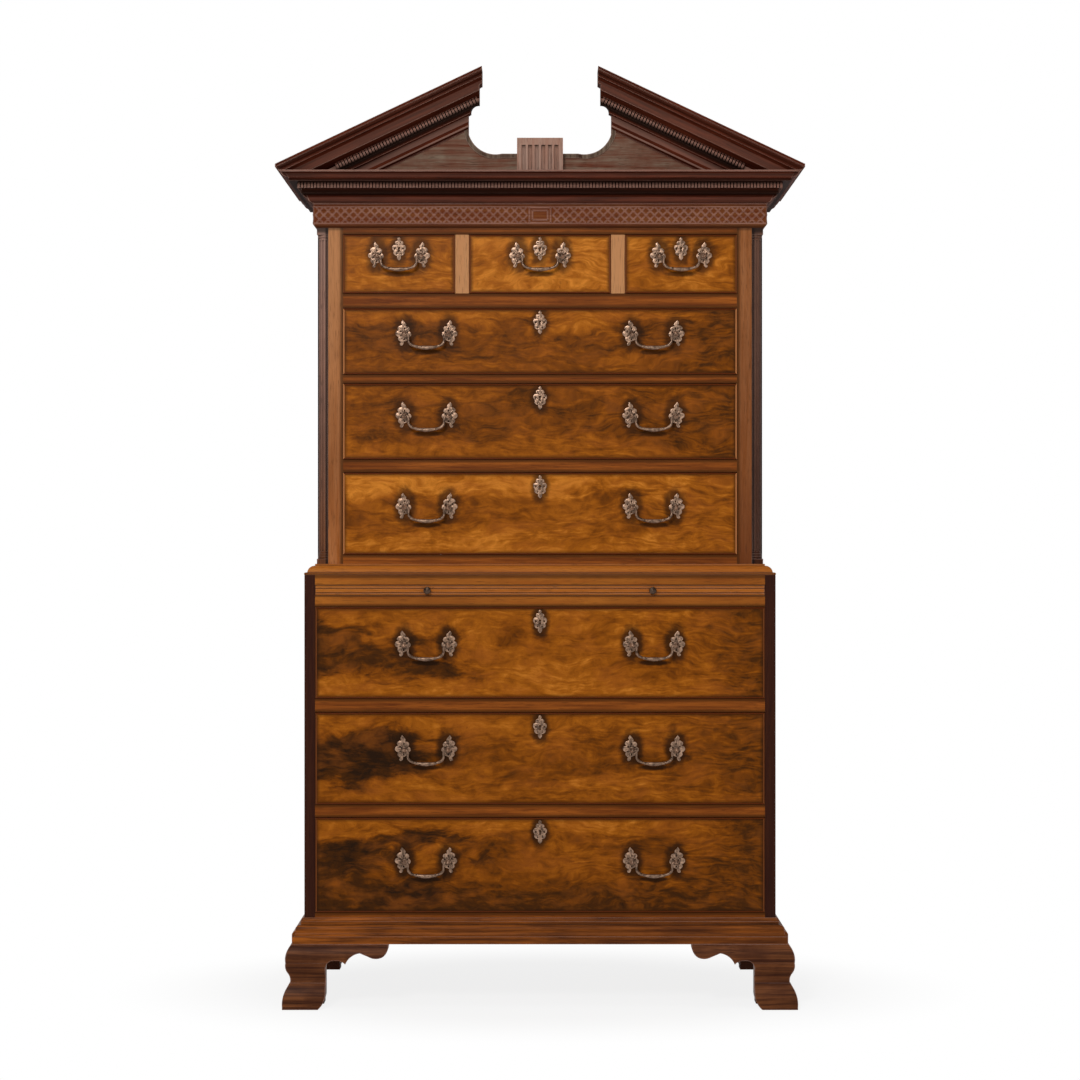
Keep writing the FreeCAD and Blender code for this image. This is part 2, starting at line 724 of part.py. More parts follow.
VECTOR = FreeCAD.Vector
front_length = 2 * (upper_half + s.bed_reach + s.dentil_depth)
front_dentils = dentils(
    "front_dentils",
    VECTOR(-front_length.value / 2, (upper_front - s.bed_reach).value, corona_foot.value),
    VECTOR(1, 0, 0), VECTOR(0, -1, 0), VECTOR(0, 0, -1), front_length.value)
side_dentils = dentils(
    "right_dentils",
    VECTOR((upper_half + s.bed_reach).value, (upper_front - s.bed_reach).value, corona_foot.value),
    VECTOR(0, 1, 0), VECTOR(1, 0, 0), VECTOR(0, 0, -1), (back - upper_front + s.bed_reach).value)

cornice_front = cornice_members(0) + [(s.shelf_reach, case_top), (0, case_top)]
cornice_runs = three_sides("cornice", cornice_front, side_members(0), upper_half, upper_front, 0,
                           s.lip_reach + s.mitre_spare)
node("cornice", *cornice_runs, front_dentils, side_dentils,
     mirrored("left_dentils", side_dentils, (1, 0, 0)))


# ---------------------------------------------------------------- pediment

rake_start = upper_half + s.lip_reach + s.mitre_spare
rake_top = peak + s.mitre_spare
rake_end = s.break_half - s.tympanum_thickness
rake = doc.addObject("PartDesign::Body", "rake_length")
rake_sketch = sketch_on(rake, "YZ")
draw(rake_sketch, profile(side_members(s.frieze_projection), lambda p, z: (
    upper_front - p, z + s.pediment_pitch * (upper_half + p - rake_start))))
bind(rake_sketch, {"AttachmentOffset.Base.z": rake_start})
rake_pad = rake.newObject("PartDesign::Pad", "rake_pad")
rake_pad.Profile = rake_sketch
rake_pad.UseCustomVector = True
rake_pad.Direction = VECTOR(1, 0, -s.pediment_pitch.value)
bind(rake_pad, {"Length": rake_start - rake_end, "Direction.z": -s.pediment_pitch})
rake_pad.AlongSketchNormal = True
rake_pad.Reversed = True

# what is kept of each raking cornice: up to its stepped return at the break, and its mitre
rake_keep = prism("rake_keep", "XZ", [
    (s.break_half, rake_top),
    (s.break_half, peak - s.break_lip),
    (s.break_half + s.break_return, peak - s.break_lip - s.break_fall),
    (s.break_half + s.break_return, peak - s.break_face),
    Round(0.25),
    (s.opening_half - s.break_return, peak - s.break_foot + s.break_fall),
    (s.opening_half, peak - s.break_foot),
    (s.opening_half, case_top - s.shelf_edge),
    (rake_start, case_top - s.shelf_edge),
    (rake_start, rake_top),
], upper_front - rake_start, upper_front)
rake_mitre = prism("rake_mitre", "XY", [
    (0, upper_front + upper_half - rake_start),
    (rake_start, upper_front + upper_half - rake_start),
    (upper_half, upper_front),
    (0, upper_front),
], frieze_foot, rake_top)
rake_right = cut("raking_right", common("rake_trimmed", rake, rake_keep, rake_mitre), cornice_runs[0])

slope = math.atan(s.pediment_pitch.value)
band_place = upper_half + s.bed_reach
dentil_outer = (upper_half + s.bed_reach + s.dentil_depth
                - (s.corona_height + s.dentil_height + s.dentil_width) / s.pediment_pitch).value
dentil_inner = (s.break_half + s.break_return * 2).value
rake_dentils = dentils(
    "raking_dentils_right",
    VECTOR(dentil_outer, (upper_front - s.bed_reach).value,
           (corona_foot + s.pediment_pitch * (band_place - dentil_outer)).value),
    VECTOR(-math.cos(slope), 0, math.sin(slope)), VECTOR(0, -1, s.pediment_pitch.value),
    VECTOR(-math.sin(slope), 0, -math.cos(slope)), (dentil_outer - dentil_inner) / math.cos(slope))
node("raking_cornices", rake_right, mirrored("raking_left", rake_right, (1, 0, 0)),
     rake_dentils, mirrored("raking_dentils_left", rake_dentils, (1, 0, 0)))

tympanum_face = upper_front - s.frieze_projection
tympanum_back = tympanum_face + s.tympanum_thickness
opening_foot = case_top + s.opening_floor
corner_top = opening_foot + s.opening_corner_high
corner_inner = s.opening_half - s.opening_corner_wide


def roof_at(x):
    """Height of the roof plane over a place along the front."""
    return eaves + s.pediment_pitch * (upper_half + s.lip_reach - x)


tympanum = prism("tympanum_board", "XZ", [
    (-upper_half, case_top),
    (upper_half, case_top),
    (upper_half, roof_at(upper_half)),
    (s.opening_half, roof_at(s.opening_half)),
    (s.opening_half, corner_top),
    Round(0.2),
    (corner_inner, opening_foot),
    (-corner_inner, opening_foot),
    Round(0.2),
    (-s.opening_half, corner_top),
    (-s.opening_half, roof_at(s.opening_half)),
    (-upper_half, roof_at(upper_half)),
], tympanum_face, tympanum_back)
braces = []
for name, x in (("outer", s.brace_place), ("inner", s.opening_half + s.brace_thickness)):
    brace = prism(f"brace_{name}_right", "YZ", [
        (tympanum_back, case_top),
        (tympanum_back + s.brace_depth, case_top),
        (tympanum_back, case_top + s.brace_height * (0.75 if name == "outer" else 1)),
    ], x, x + s.brace_thickness)
    braces += [brace, mirrored(f"brace_{name}_left", brace, (1, 0, 0))]
node("tympanum", tympanum, *braces)

plinth_half = s.plinth_width / 2
plinth_face = upper_front - s.plinth_reach
plinth_top = case_top + s.plinth_height
plinth_block = prism("plinth_solid", "YZ", [
    (plinth_face, case_top),
    (tympanum_face, case_top),
    (tympanum_face, opening_foot),
    (plinth_face + s.plinth_depth, opening_foot),
    (plinth_face + s.plinth_depth, plinth_top),
    (plinth_face, plinth_top),
], -plinth_half, plinth_half)
PLINTH_FLUTES = 6
flutes = []
for flute in range(PLINTH_FLUTES):
    cutter = cylinder(f"plinth_flute_{flute + 1}", s.plinth_flute / 2,
                      s.plinth_height - s.plinth_cap - s.plinth_flute / 2)
    flutes.append(place(cutter, s.plinth_flute_pitch * (flute - (PLINTH_FLUTES - 1) / 2), plinth_face,
                        case_top + s.plinth_flute / 4))
node("plinth_block", cut("plinth_fluted", plinth_block, *flutes))


# ---------------------------------------------------------------- quarter columns

SHAFT_FLUTES = 4
column_radius = s.column_size - s.shaft_inset
foot_top = lower_top + s.column_foot
head_foot = column_top - s.column_head
column_y = upper_front + s.column_size


def quarter(name, radius, foot, height):
    """A quarter of a cylinder that fills the right front corner of the upper case."""
    item = turn(cylinder(name, radius, height, quarter=True), (0, 0, 1), -90)
    return place(item, column_inner, column_y, foot)


shaft = quarter("column_shaft", column_radius, foot_top + 2 * s.column_ring,
                head_foot - foot_top - 3 * s.column_ring)
shaft_flutes = []
for flute in range(SHAFT_FLUTES):
    bearing = math.radians(90 * (flute + 0.5) / SHAFT_FLUTES)
    cutter = cylinder(f"column_flute_{flute + 1}", s.column_flute,
                      head_foot - foot_top - 5 * s.column_ring)
    shaft_flutes.append(place(cutter, column_inner + column_radius * math.cos(bearing),
                              column_y - column_radius * math.sin(bearing), foot_top + 3 * s.column_ring))
column = [
    box("column_foot", (column_inner, upper_front, lower_top), (upper_half, column_y, foot_top)),
    quarter("column_ring_low", s.column_size, foot_top, s.column_ring),
    quarter("column_ring_mid", column_radius + s.shaft_inset / 2, foot_top + s.column_ring, s.column_ring),
    cut("column_fluted", shaft, *shaft_flutes),
    quarter("column_ring_top", s.column_size, head_foot - s.column_ring, s.column_ring),
    box("column_head", (column_inner, upper_front, head_foot), (upper_half, column_y, column_top)),
]
node("quarter_columns", *column,
     *[mirrored(piece.Name + "_left", piece, (1, 0, 0)) for piece in column])


# ---------------------------------------------------------------- feet

def bracket(corner, outward, outer):
    """Outline of a bracket: distances from the case's corner run inwards, heights from the floor."""
    def spot(inset, height):
        return corner - outward * inset, height
    return [
        spot(-outer, 0),
        spot(s.toe_inset, 0),
        Round(0.12 * outward),
        spot(s.ankle_inset, s.heel_height),
        spot(s.ankle_inset, s.ankle_height),
        Round(-0.25 * outward),
        spot(s.arch_inset, s.foot_height - s.arch_drop),
        Round(-0.12 * outward),
        spot(s.cusp_inset, s.foot_height - s.cusp_drop),
        Round(-0.14 * outward),
        spot(s.hollow_inset, s.foot_height - s.hollow_drop),
        spot(s.lobe_inner, s.foot_height - s.lobe_drop + 1),
        Round(0.12 * outward),
        spot(s.lobe_outer, s.foot_height - s.lobe_drop),
        Round(0.15 * outward),
        spot(s.foot_wing, s.foot_height),
        spot(-outer, s.foot_height),
    ]


foot_section = [
    (0, 0),
    (s.foot_toe, 0),
    (s.foot_toe, s.foot_toe_edge),
    Round(0.1),
    (s.foot_waist, s.foot_waist_height),
    Ogee(-0.1),
    (s.foot_swell, s.foot_swell_height),
    Round(0.12),
    (s.foot_top, s.foot_height),
    (0, s.foot_height),
]
toe_span = s.foot_toe + s.mitre_spare
wing_end = lower_half - s.foot_wing - s.mitre_spare
front_arm = common(
    "front_foot_right",
    prism("foot_length", "YZ", profile(foot_section, lambda p, z: (lower_front - p, z)),
          wing_end, lower_half + toe_span),
    prism("foot_outline", "XZ", bracket(lower_half, 1, toe_span), lower_front - toe_span, lower_front),
    prism("foot_mitre", "XY", [
        (lower_half + toe_span, lower_front - toe_span),
        (lower_half, lower_front),
        (wing_end, lower_front),
        (wing_end, lower_front - toe_span),
    ], -s.mitre_spare, s.foot_height + s.mitre_spare),
)
side_arm = mirrored("side_foot_right", front_arm, (1, 1, 0), lower_half, lower_front)
rear_arm = common(
    "rear_foot_right",
    mirrored("rear_foot_whole", side_arm, (0, 1, 0), 0, (lower_front + back) / 2),
    box("rear_foot_trim", (lower_half - s.mitre_spare, (lower_front + back) / 2, -s.mitre_spare),
        (lower_half + toe_span, back, s.foot_height + s.mitre_spare)),
)
rear_bracket = prism("rear_bracket_right", "XZ", bracket(lower_half, 1, 0), back - s.rear_bracket, back)
arms = [front_arm, side_arm, rear_arm, rear_bracket]
node("bracket_feet", *arms, *[mirrored(arm.Name.replace("right", "left"), arm, (1, 0, 0)) for arm in arms])

block_back = back - s.rear_bracket
node(
    "foot_blocks",
    *pair("front_foot_block", (lower_half - s.foot_block, lower_front, s.foot_toe_edge),
          (lower_half, lower_front + s.foot_block, s.foot_height)),
    *pair("rear_foot_block", (lower_half - s.foot_block, block_back - s.foot_block, s.foot_toe_edge),
          (lower_half, block_back, s.foot_height)),
)


# ---------------------------------------------------------------- brasses, one pattern of each

def rosette_outline():
    """A pear-shaped plate with a waist, about the middle of its post."""
    half = s.rosette_width / 2
    return [
        (0, -s.rosette_fall),
        Round(-0.2),
        (half * 0.75, -s.rosette_fall * 0.45),
        Round(-0.3),
        (half, s.rosette_rise * 0.22),
        Round(-0.2),
        (half * 0.35, s.rosette_rise * 0.66),
        (0, s.rosette_rise),
        (-half * 0.35, s.rosette_rise * 0.66),
        Round(-0.2),
        (-half, s.rosette_rise * 0.22),
        Round(-0.3),
        (-half * 0.75, -s.rosette_fall * 0.45),
        Round(-0.2),
    ]


def escutcheon_outline():
    """A pointed oval plate about its keyhole."""
    half, tall = s.escutcheon_width / 2, s.escutcheon_height / 2
    return [
        (0, -tall),
        Round(-0.15),
        (half, 0),
        Round(-0.15),
        (0, tall),
        Round(-0.15),
        (-half, 0),
        Round(-0.15),
    ]


def drilled(name, base, radius, length, start):
    """A hole along the front-to-back axis through a plate or a nut."""
    hole = turn(cylinder(name + "_hole", radius, length), (1, 0, 0), 90)
    return cut(name, base, place(hole, 0, start, 0))


hole_radius = s.post_radius + s.fit_gap
rosette = drilled("rosette", prism("rosette_plate", "XZ", rosette_outline(), -s.plate_thickness, 0),
                  hole_radius, s.plate_thickness * 3, s.plate_thickness)
escutcheon = drilled("escutcheon", prism("escutcheon_plate", "XZ", escutcheon_outline(),
                                         -s.plate_thickness, 0),
                     s.keyhole_radius, s.plate_thickness * 3, s.plate_thickness)

nut_disc = place(turn(cylinder("nut_disc", s.nut_radius, s.nut_thickness), (1, 0, 0), 90),
                 0, s.nut_thickness, 0)
nut = drilled("nut", nut_disc, hole_radius, s.nut_thickness * 3, s.nut_thickness * 2)

post_length = s.post_tail + s.front_thickness + s.post_reach
shank = place(turn(cylinder("post_shank", s.post_radius, post_length), (1, 0, 0), 90),
              0, s.post_tail + s.front_thickness, 0)
collar = place(turn(cylinder("post_collar", s.post_collar, s.collar_height), (1, 0, 0), 90),
               0, -s.plate_thickness, 0)
ball = doc.addObject("Part::Sphere", "post_ball")
bind(ball, {"Radius": s.post_ball})
place(ball, 0, -s.post_reach, 0)
eye = place(turn(cylinder("post_eye", s.bail_pin + s.fit_gap, s.post_ball * 3), (0, 1, 0), 90),
            -s.post_ball * 1.5, -s.post_reach, 0)
post = cut("post", fused("post_solid", shank, collar, ball), eye)


def bail_path():
    """Middle line of the bail's bow, in its own upright plane, from one arm to the other."""
    arm = s.post_spacing / 2 - s.bail_shoulder
    bend = s.bail_bend
    turn_in = s.bail_radius * 1.4
    corner = 1 - math.sqrt(0.5)
    points = [(arm + turn_in, 0), (arm + turn_in * corner, -turn_in * corner), (arm, -turn_in),
              (arm, bend - s.bail_drop), (arm - bend * corner, bend * corner - s.bail_drop),
              (arm - bend, -s.bail_drop)]
    right = [VECTOR(size(x).value, 0, size(z).value) for x, z in points]
    left = [VECTOR(-point.x, 0, point.z) for point in reversed(right)]
    return Part.Wire([
        Part.Arc(right[0], right[1], right[2]).toShape(),
        Part.makeLine(right[2], right[3]),
        Part.Arc(right[3], right[4], right[5]).toShape(),
        Part.makeLine(right[5], left[0]),
        Part.Arc(left[0], left[1], left[2]).toShape(),
        Part.makeLine(left[2], left[3]),
        Part.Arc(left[3], left[4], left[5]).toShape(),
    ])


bail_line = doc.addObject("Part::Feature", "bail_line")
bail_line.Shape = bail_path()
bail_section = doc.addObject("Part::Circle", "bail_section")
bind(bail_section, {"Radius": s.bail_radius})
turn(bail_section, (0, 1, 0), 90)
place(bail_section, s.post_spacing / 2 - s.bail_shoulder + s.bail_radius * 1.4, 0, 0)
bow = doc.addObject("Part::Sweep", "bail_bow")
bow.Sections = [bail_section]
bow.Spine = (bail_line, [f"Edge{edge}" for edge in range(1, 8)])
bow.Solid = True
bow.Frenet = False
pin_length = s.bail_shoulder - s.bail_radius * 1.4 + s.post_ball + s.fit_gap * 10
right_pin = place(turn(cylinder("bail_pin_right", s.bail_pin, pin_length), (0, 1, 0), 90),
                  s.post_spacing / 2 - s.bail_shoulder + s.bail_radius * 1.4, 0, 0)
bail = fused("bail", bow, right_pin, mirrored("bail_pin_left", right_pin, (1, 0, 0)))
doc.recompute()


# ---------------------------------------------------------------- drawers

Drawer = namedtuple("Drawer", "name left right foot height front handles post_height")
LONG = (-s.handle_offset, s.handle_offset)


def long_drawer(name, half, foot, height, front, post_height):
    return Drawer(name, -half, half, foot, height, front, LONG, post_height)


def short_drawer(name, left, right):
    return Drawer(name, left, right, short_foot, s.short_height, upper_front, ((left + right) / 2,),
                  s.short_post_height)


DRAWERS = (
    short_drawer("short_drawer_left", -upper_opening, -short_inner),
    short_drawer("short_drawer_middle", -short_half, short_half),
    short_drawer("short_drawer_right", short_inner, upper_opening),
    long_drawer("upper_drawer_1", upper_opening, upper_1_foot, s.upper_1_height, upper_front,
                s.upper_1_post_height),
    long_drawer("upper_drawer_2", upper_opening, upper_2_foot, s.upper_2_height, upper_front,
                s.upper_2_post_height),
    long_drawer("upper_drawer_3", upper_opening, upper_3_foot, s.upper_3_height, upper_front,
                s.upper_3_post_height),
    long_drawer("lower_drawer_1", lower_opening, lower_1_foot, s.lower_1_height, lower_front,
                s.lower_1_post_height),
    long_drawer("lower_drawer_2", lower_opening, lower_2_foot, s.lower_2_height, lower_front,
                s.lower_2_post_height),
    long_drawer("lower_drawer_3", lower_opening, lower_3_foot, s.lower_3_height, lower_front,
                s.lower_3_post_height),
)


def dovetails(name, drawer, x, foot, top):
    """Tails on the front end of a drawer side, let into the back of the drawer front."""
    count = max(2, int((top - foot).value / s.tail_pitch.value))
    tails = []
    for place_of in range(count):
        middle = foot + (top - foot) * (place_of + 0.5) / count
        tip, root = s.tail_width / 2, s.tail_width / 2 - s.tail_slope
        tail = doc.addObject("Part::Wedge", f"{name}_tail_{place_of + 1}")
        bind(tail, {
            "Xmin": 0, "Xmax": s.box_side, "X2min": 0, "X2max": s.box_side,
            "Ymin": 0, "Ymax": s.tail_length,
            "Zmin": -tip, "Zmax": tip, "Z2min": -root, "Z2max": root,
        })
        tails.append(place(tail, x, drawer.front + s.front_thickness - s.tail_length, middle))
    return tails


def level_bead(front, foot):
    """Section of a cock bead with its round nose, for the top or the foot of a drawer front."""
    face_back = front + s.front_thickness
    nose = front - s.bead_proud + s.bead_width / 2
    top = foot + s.bead_width
    return [(face_back, foot), (nose, foot), Round(0.5), (nose, top), (face_back, top)]


def upright_bead(front, left):
    """The same section for a side of a drawer front."""
    face_back = front + s.front_thickness
    nose = front - s.bead_proud + s.bead_width / 2
    right = left + s.bead_width
    return [(left, face_back), (right, face_back), (right, nose), Round(0.5), (left, nose)]


def drawer_pieces(drawer):
    """The front with its cock beads, the oak box behind it, and the brasses with the lock."""
    name, front = drawer.name, drawer.front
    left, right = drawer.left + s.drawer_gap, drawer.right - s.drawer_gap
    foot, top = drawer.foot + s.drawer_gap, drawer.foot + drawer.height - s.drawer_gap * 1.5
    face_back = front + s.front_thickness
    in_left, in_right = left + s.bead_width, right - s.bead_width
    in_foot, in_top = foot + s.bead_width, top - s.bead_width

    # oak box
    side_foot = drawer.foot + s.run_gap
    side_top = drawer.foot + drawer.height - s.box_top_gap
    box_back = inner_back - s.drawer_back_gap
    bottom_foot = side_foot + s.strip_height
    bottom_top = bottom_foot + s.box_bottom
    tails_left = dovetails(name + "_left", drawer, in_left, in_foot, side_top)
    tails_right = dovetails(name + "_right", drawer, in_right - s.box_side, in_foot, side_top)
    clear_left, clear_right = in_left + s.box_side, in_right - s.box_side
    node(
        name + "_box",
        fused(name + "_side_left", box(name + "_board_left", (in_left, face_back, side_foot),
                                       (clear_left, box_back, side_top)), *tails_left),
        fused(name + "_side_right", box(name + "_board_right", (clear_right, face_back, side_foot),
                                        (in_right, box_back, side_top)), *tails_right),
        box(name + "_back", (clear_left, box_back - s.box_side, bottom_top),
            (clear_right, box_back, side_top)),
        box(name + "_bottom", (clear_left, face_back, bottom_foot), (clear_right, box_back, bottom_top)),
        box(name + "_strip_left", (clear_left, face_back, side_foot),
            (clear_left + s.strip_width, box_back, bottom_foot)),
        box(name + "_strip_right", (clear_right - s.strip_width, face_back, side_foot),
            (clear_right, box_back, bottom_foot)),
    )

    # front and beads
    key_x = (drawer.left + drawer.right) / 2
    key_z = drawer.foot + drawer.height - s.escutcheon_drop
    post_z = drawer.foot + drawer.post_height
    posts = [handle + side * s.post_spacing / 2 for handle in drawer.handles for side in (-1, 1)]
    holes = [(x, post_z, hole_radius) for x in posts] + [(key_x, key_z, s.keyhole_radius)]
    cutters = []
    for count, (x, z, radius) in enumerate(holes, 1):
        drill = turn(cylinder(f"{name}_hole_{count}", radius, s.front_thickness * 2), (1, 0, 0), 90)
        cutters.append(place(drill, x, front + s.front_thickness * 1.5, z))
    board = box(name + "_front_board", (in_left, front, in_foot), (in_right, face_back, in_top))
    node(
        name + "_front",
        cut(name + "_face", board, *cutters, *tails_left, *tails_right),
        prism(name + "_bead_top", "YZ", level_bead(front, in_top), left, right),
        prism(name + "_bead_foot", "YZ", level_bead(front, foot), left, right),
        prism(name + "_bead_left", "XY", upright_bead(front, left), in_foot, in_top),
        prism(name + "_bead_right", "XY", upright_bead(front, in_right), in_foot, in_top),
    )

    # brasses and lock
    brasses = []
    for count, x in enumerate(posts, 1):
        brasses.append(copy_of(f"{name}_rosette_{count}", rosette, x, front, post_z))
        brasses.append(copy_of(f"{name}_post_{count}", post, x, front, post_z))
        brasses.append(copy_of(f"{name}_nut_{count}", nut, x, face_back, post_z))
    lock_foot = key_z - s.lock_height / 2
    lock_top = key_z + s.lock_height / 2
    brasses.append(copy_of(name + "_escutcheon", escutcheon, key_x, front, key_z))
    brasses.append(box(name + "_lock", (key_x - s.lock_width / 2, face_back, lock_foot),
                       (key_x + s.lock_width / 2, face_back + s.lock_thickness, lock_top)))
    brasses.append(box(name + "_bolt", (key_x - s.bolt_width / 2, face_back, lock_top),
                       (key_x + s.bolt_width / 2, face_back + s.lock_thickness / 2,
                        lock_top + s.bolt_height)))
    node(name + "_brasses", *brasses)

    # bails
    sides = ("",) if len(drawer.handles) == 1 else ("_left", "_right")
    for side, handle in zip(sides, drawer.handles):
        node(f"{name}_bail{side}", copy_of(f"{name}_bail_copy{side}", bail, handle,
                                           front - s.post_reach, post_z))


for drawer in DRAWERS:
    drawer_pieces(drawer)


# ---------------------------------------------------------------- brushing slide

knob = turned("knob", [
    (0, 0),
    (s.knob_neck + 1, 0),
    Round(0.3),
    (s.knob_neck, s.knob_reach * 0.4),
    Round(-0.2),
    (s.knob_radius, s.knob_reach * 0.7),
    Round(0.4),
    (0, s.knob_reach),
])
slide_half = lower_opening - s.drawer_gap
doc.recompute()
knobs = []
for side, x in (("left", -s.knob_offset), ("right", s.knob_offset)):
    item = doc.addObject("Part::Feature", "slide_knob_" + side)
    item.Shape = knob.Shape.copy()
    turn(item, (1, 0, 0), 90)
    knobs.append(place(item, x, lower_front, slide_foot + s.slide_height / 2))
node(
    "brushing_slide",
    box("slide_board", (-slide_half, lower_front, slide_foot + s.run_gap),
        (slide_half, inner_back - s.slide_back_gap, slide_foot + s.slide_height - s.drawer_gap)),
    *knobs,
)


# ---------------------------------------------------------------- check and write

doc.recompute()
for item in doc.Objects:
    if "Invalid" in item.State or "Error" in item.State:
        raise RuntimeError(f"{item.Name} failed: {item.State}")
for item in NODES:
    if item.Shape.isNull() or not item.Shape.isValid() or not item.Shape.Solids:
        raise RuntimeError(f"{item.Label} has no valid shape")

os.makedirs("parts", exist_ok=True)
for item in NODES:
    item.Shape.exportStep(f"parts/{item.Label}.step")
whole = Part.makeCompound([item.Shape for item in NODES]).BoundBox
print(len(NODES), "nodes", sum(len(item.Shape.Solids) for item in NODES), "solids")
print(f"{whole.XLength:.1f} x {whole.YLength:.1f} x {whole.ZLength:.1f} mm")
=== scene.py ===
import json
import math

import bmesh
import bpy
from bpy.props import FloatProperty, FloatVectorProperty, PointerProperty
from mathutils import Matrix, Vector


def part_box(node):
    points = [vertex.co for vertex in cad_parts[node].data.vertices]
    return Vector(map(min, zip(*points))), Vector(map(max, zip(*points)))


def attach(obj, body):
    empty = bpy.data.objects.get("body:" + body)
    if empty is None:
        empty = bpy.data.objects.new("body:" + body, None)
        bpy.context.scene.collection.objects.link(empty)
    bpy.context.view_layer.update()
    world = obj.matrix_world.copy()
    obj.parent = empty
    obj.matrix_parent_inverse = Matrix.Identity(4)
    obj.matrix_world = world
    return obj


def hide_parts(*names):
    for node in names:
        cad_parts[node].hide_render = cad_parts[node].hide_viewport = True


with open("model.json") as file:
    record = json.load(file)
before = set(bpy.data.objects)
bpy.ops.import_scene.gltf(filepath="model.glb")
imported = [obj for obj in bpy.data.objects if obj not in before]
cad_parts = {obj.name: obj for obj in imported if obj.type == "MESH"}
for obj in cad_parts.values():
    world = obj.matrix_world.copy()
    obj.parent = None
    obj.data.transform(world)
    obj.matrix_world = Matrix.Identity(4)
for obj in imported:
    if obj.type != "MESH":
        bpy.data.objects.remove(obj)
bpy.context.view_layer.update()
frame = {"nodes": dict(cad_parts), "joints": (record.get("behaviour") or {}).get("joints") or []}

bl_info = {
    "name": "Chest on chest",
    "version": (1, 0, 0),
    "blender": (4, 5, 0),
    "location": "3D View > Sidebar > Chest",
    "description": "Finishes a mahogany chest on chest: figured fronts, mouldings, blind fret and brasses",
    "category": "Object",
}

MM = 0.001
DRAWERS = [name[:-6] for name in frame["nodes"] if name.endswith("_front")]
BAILS = {joint["child"]: Vector(joint["pos_m"]) for joint in frame["joints"] if "_bail" in joint["child"]}
POST_HALF = 51.5 * MM         # half the distance between the two posts of a handle
COCK_BEAD = 3.5 * MM          # width of the beads round a drawer front
BEAD_PROUD = 2.5 * MM         # how far they stand out from it
PLATE = 2.5 * MM              # thickness of the cast plates
PLATE_EDGE = 0.7 * MM         # radius of their rounded edges
KEYHOLE_DROP = 34.5 * MM      # from a drawer's upper edge to the middle of its keyhole plate
GRIP_DROP = 41.5 * MM         # from the pins of a bail to the middle of the dark halo under its grip, of wax and painted shadow
SHARP = math.radians(38)      # two faces that meet at more than this have an edge between them
PITCH = 0.4735                # rise of the pediment for each metre along the front
FRONT_HALF = 0.5              # half the width of the upper case's front, between its quarter columns
PAINTED_SHADE_HEIGHTS = (1.8, 1.05)          # heights over which that front is painted darker as shade, from the upper to the lower one, and paler as a painted highlight, from the lower to the upper one
PAINTED_HIGHLIGHT_HEIGHTS = (1.15, 1.8)        # and paler, from the lower to the upper one: light has bleached it from above
LONG_GRAIN = 0.04             # the grain is drawn out 25 times along the wood
POLISHED, DUSTY = 0.1, 0.03   # how brightly waxed polish and old dusty varnish mirror the lamps


def linear(colour):
    """An sRGB hex colour as linear red, green and blue."""
    parts = [int(colour[place:place + 2], 16) / 255 for place in (1, 3, 5)]
    return tuple(part / 12.92 if part <= 0.04045 else ((part + 0.055) / 1.055) ** 2.4 for part in parts)


def tint(name, description, colour):
    """A colour setting that starts from an sRGB hex value."""
    return FloatVectorProperty(name=name, description=description, subtype="COLOR", size=3, min=0, max=1,
                               default=linear(colour))


def length(name, description, millimetres):
    """A length setting, given here in millimetres."""
    return FloatProperty(name=name, description=description, subtype="DISTANCE", unit="LENGTH", min=0,
                         default=millimetres * MM)


# ---------------------------------------------------------------- settings

class WoodColours(bpy.types.PropertyGroup):
    """The woods and their polish."""
    honey: tint("Honey", "Lightest bands of the veneer, where the polish has faded", "#d08028")
    amber: tint("Amber", "Body colour of the veneer", "#a25a0c")
    russet: tint("Russet", "Darker figure of the veneer", "#7a3f02")
    umber: tint("Umber", "Deepest clouds of the veneer", "#4a2602")
    soot: tint("Soot", "Blackest heart of the figure", "#261303")
    divider: tint("Dividers", "Faded mahogany between the short drawers", "#bd8658")
    stile: tint("Stiles", "Orange mahogany of the stiles", "#ca8450")
    waist: tint("Waist", "Mahogany of the waist moulding and the brushing slide", "#b26a22")
    rail: tint("Rails", "Straight-grained mahogany of the rails", "#a4591a")
    rail_dark: tint("Rails, dark grain", "Darker grain of the rails", "#5a2604")
    side: tint("Case sides", "Solid mahogany of the case sides", "#3e1c0a")
    flank: tint("Flanks", "Mahogany of the case sides, seen from the side", "#7c3c1c")
    column: tint("Columns", "Mahogany of the quarter columns", "#a0643e")
    foot: tint("Feet", "Mahogany of the feet", "#7e4a28")
    cornice: tint("Cornice", "Old dark varnish on the cornice", "#642c1a")
    cornice_dark: tint("Cornice, dark grain", "Darker grain of the cornice", "#2c0c04")
    # pale tops of the fret: wear, and a painted highlight on its bars
    frieze: tint("Frieze", "Worn tops of the fret and the frieze", "#9a6c58")
    tympanum: tint("Tympanum", "Dusty varnish of the tympanum", "#82705f")
    plinth: tint("Plinth", "Faded mahogany of the fluted block", "#aa9082")
    # a dry pale bloom, also used as the colour of painted highlights on edges, bands and the tops of the
    # columns
    dust_and_highlight: tint("Dust", "Dry pale bloom on edges that stand out", "#ac8778")
    # wax and soot, and also the colour of painted shade in corners, gaps and under mouldings
    dirt_and_shade: tint("Dirt", "Wax and soot in the corners", "#120703")
    oak: tint("Oak", "Drawer linings and runners", "#b48c5c")
    pine: tint("Pine", "Back boards, tops and bottoms", "#98704a")


class BrassSettings(bpy.types.PropertyGroup):
    """The cast brasses."""
    bright: tint("Rubbed brass", "Where hands have rubbed the patina", "#be9a80")
    dark: tint("Patina", "Brown patina in the hollows of the casting", "#22140e")
    grip: length("Grip", "Radius of a bail at the middle of its grip", 4.9)
    ball: length("Ball", "Radius of a post's ball", 6)


class FretSettings(bpy.types.PropertyGroup):
    """The blind fret on the frieze."""
    spacing: length("Spacing", "Distance between two bars of the fret", 20)
    width: length("Bar", "Width of a bar of the fret", 4)
    relief: length("Relief", "How far the fret stands out from the frieze", 2)


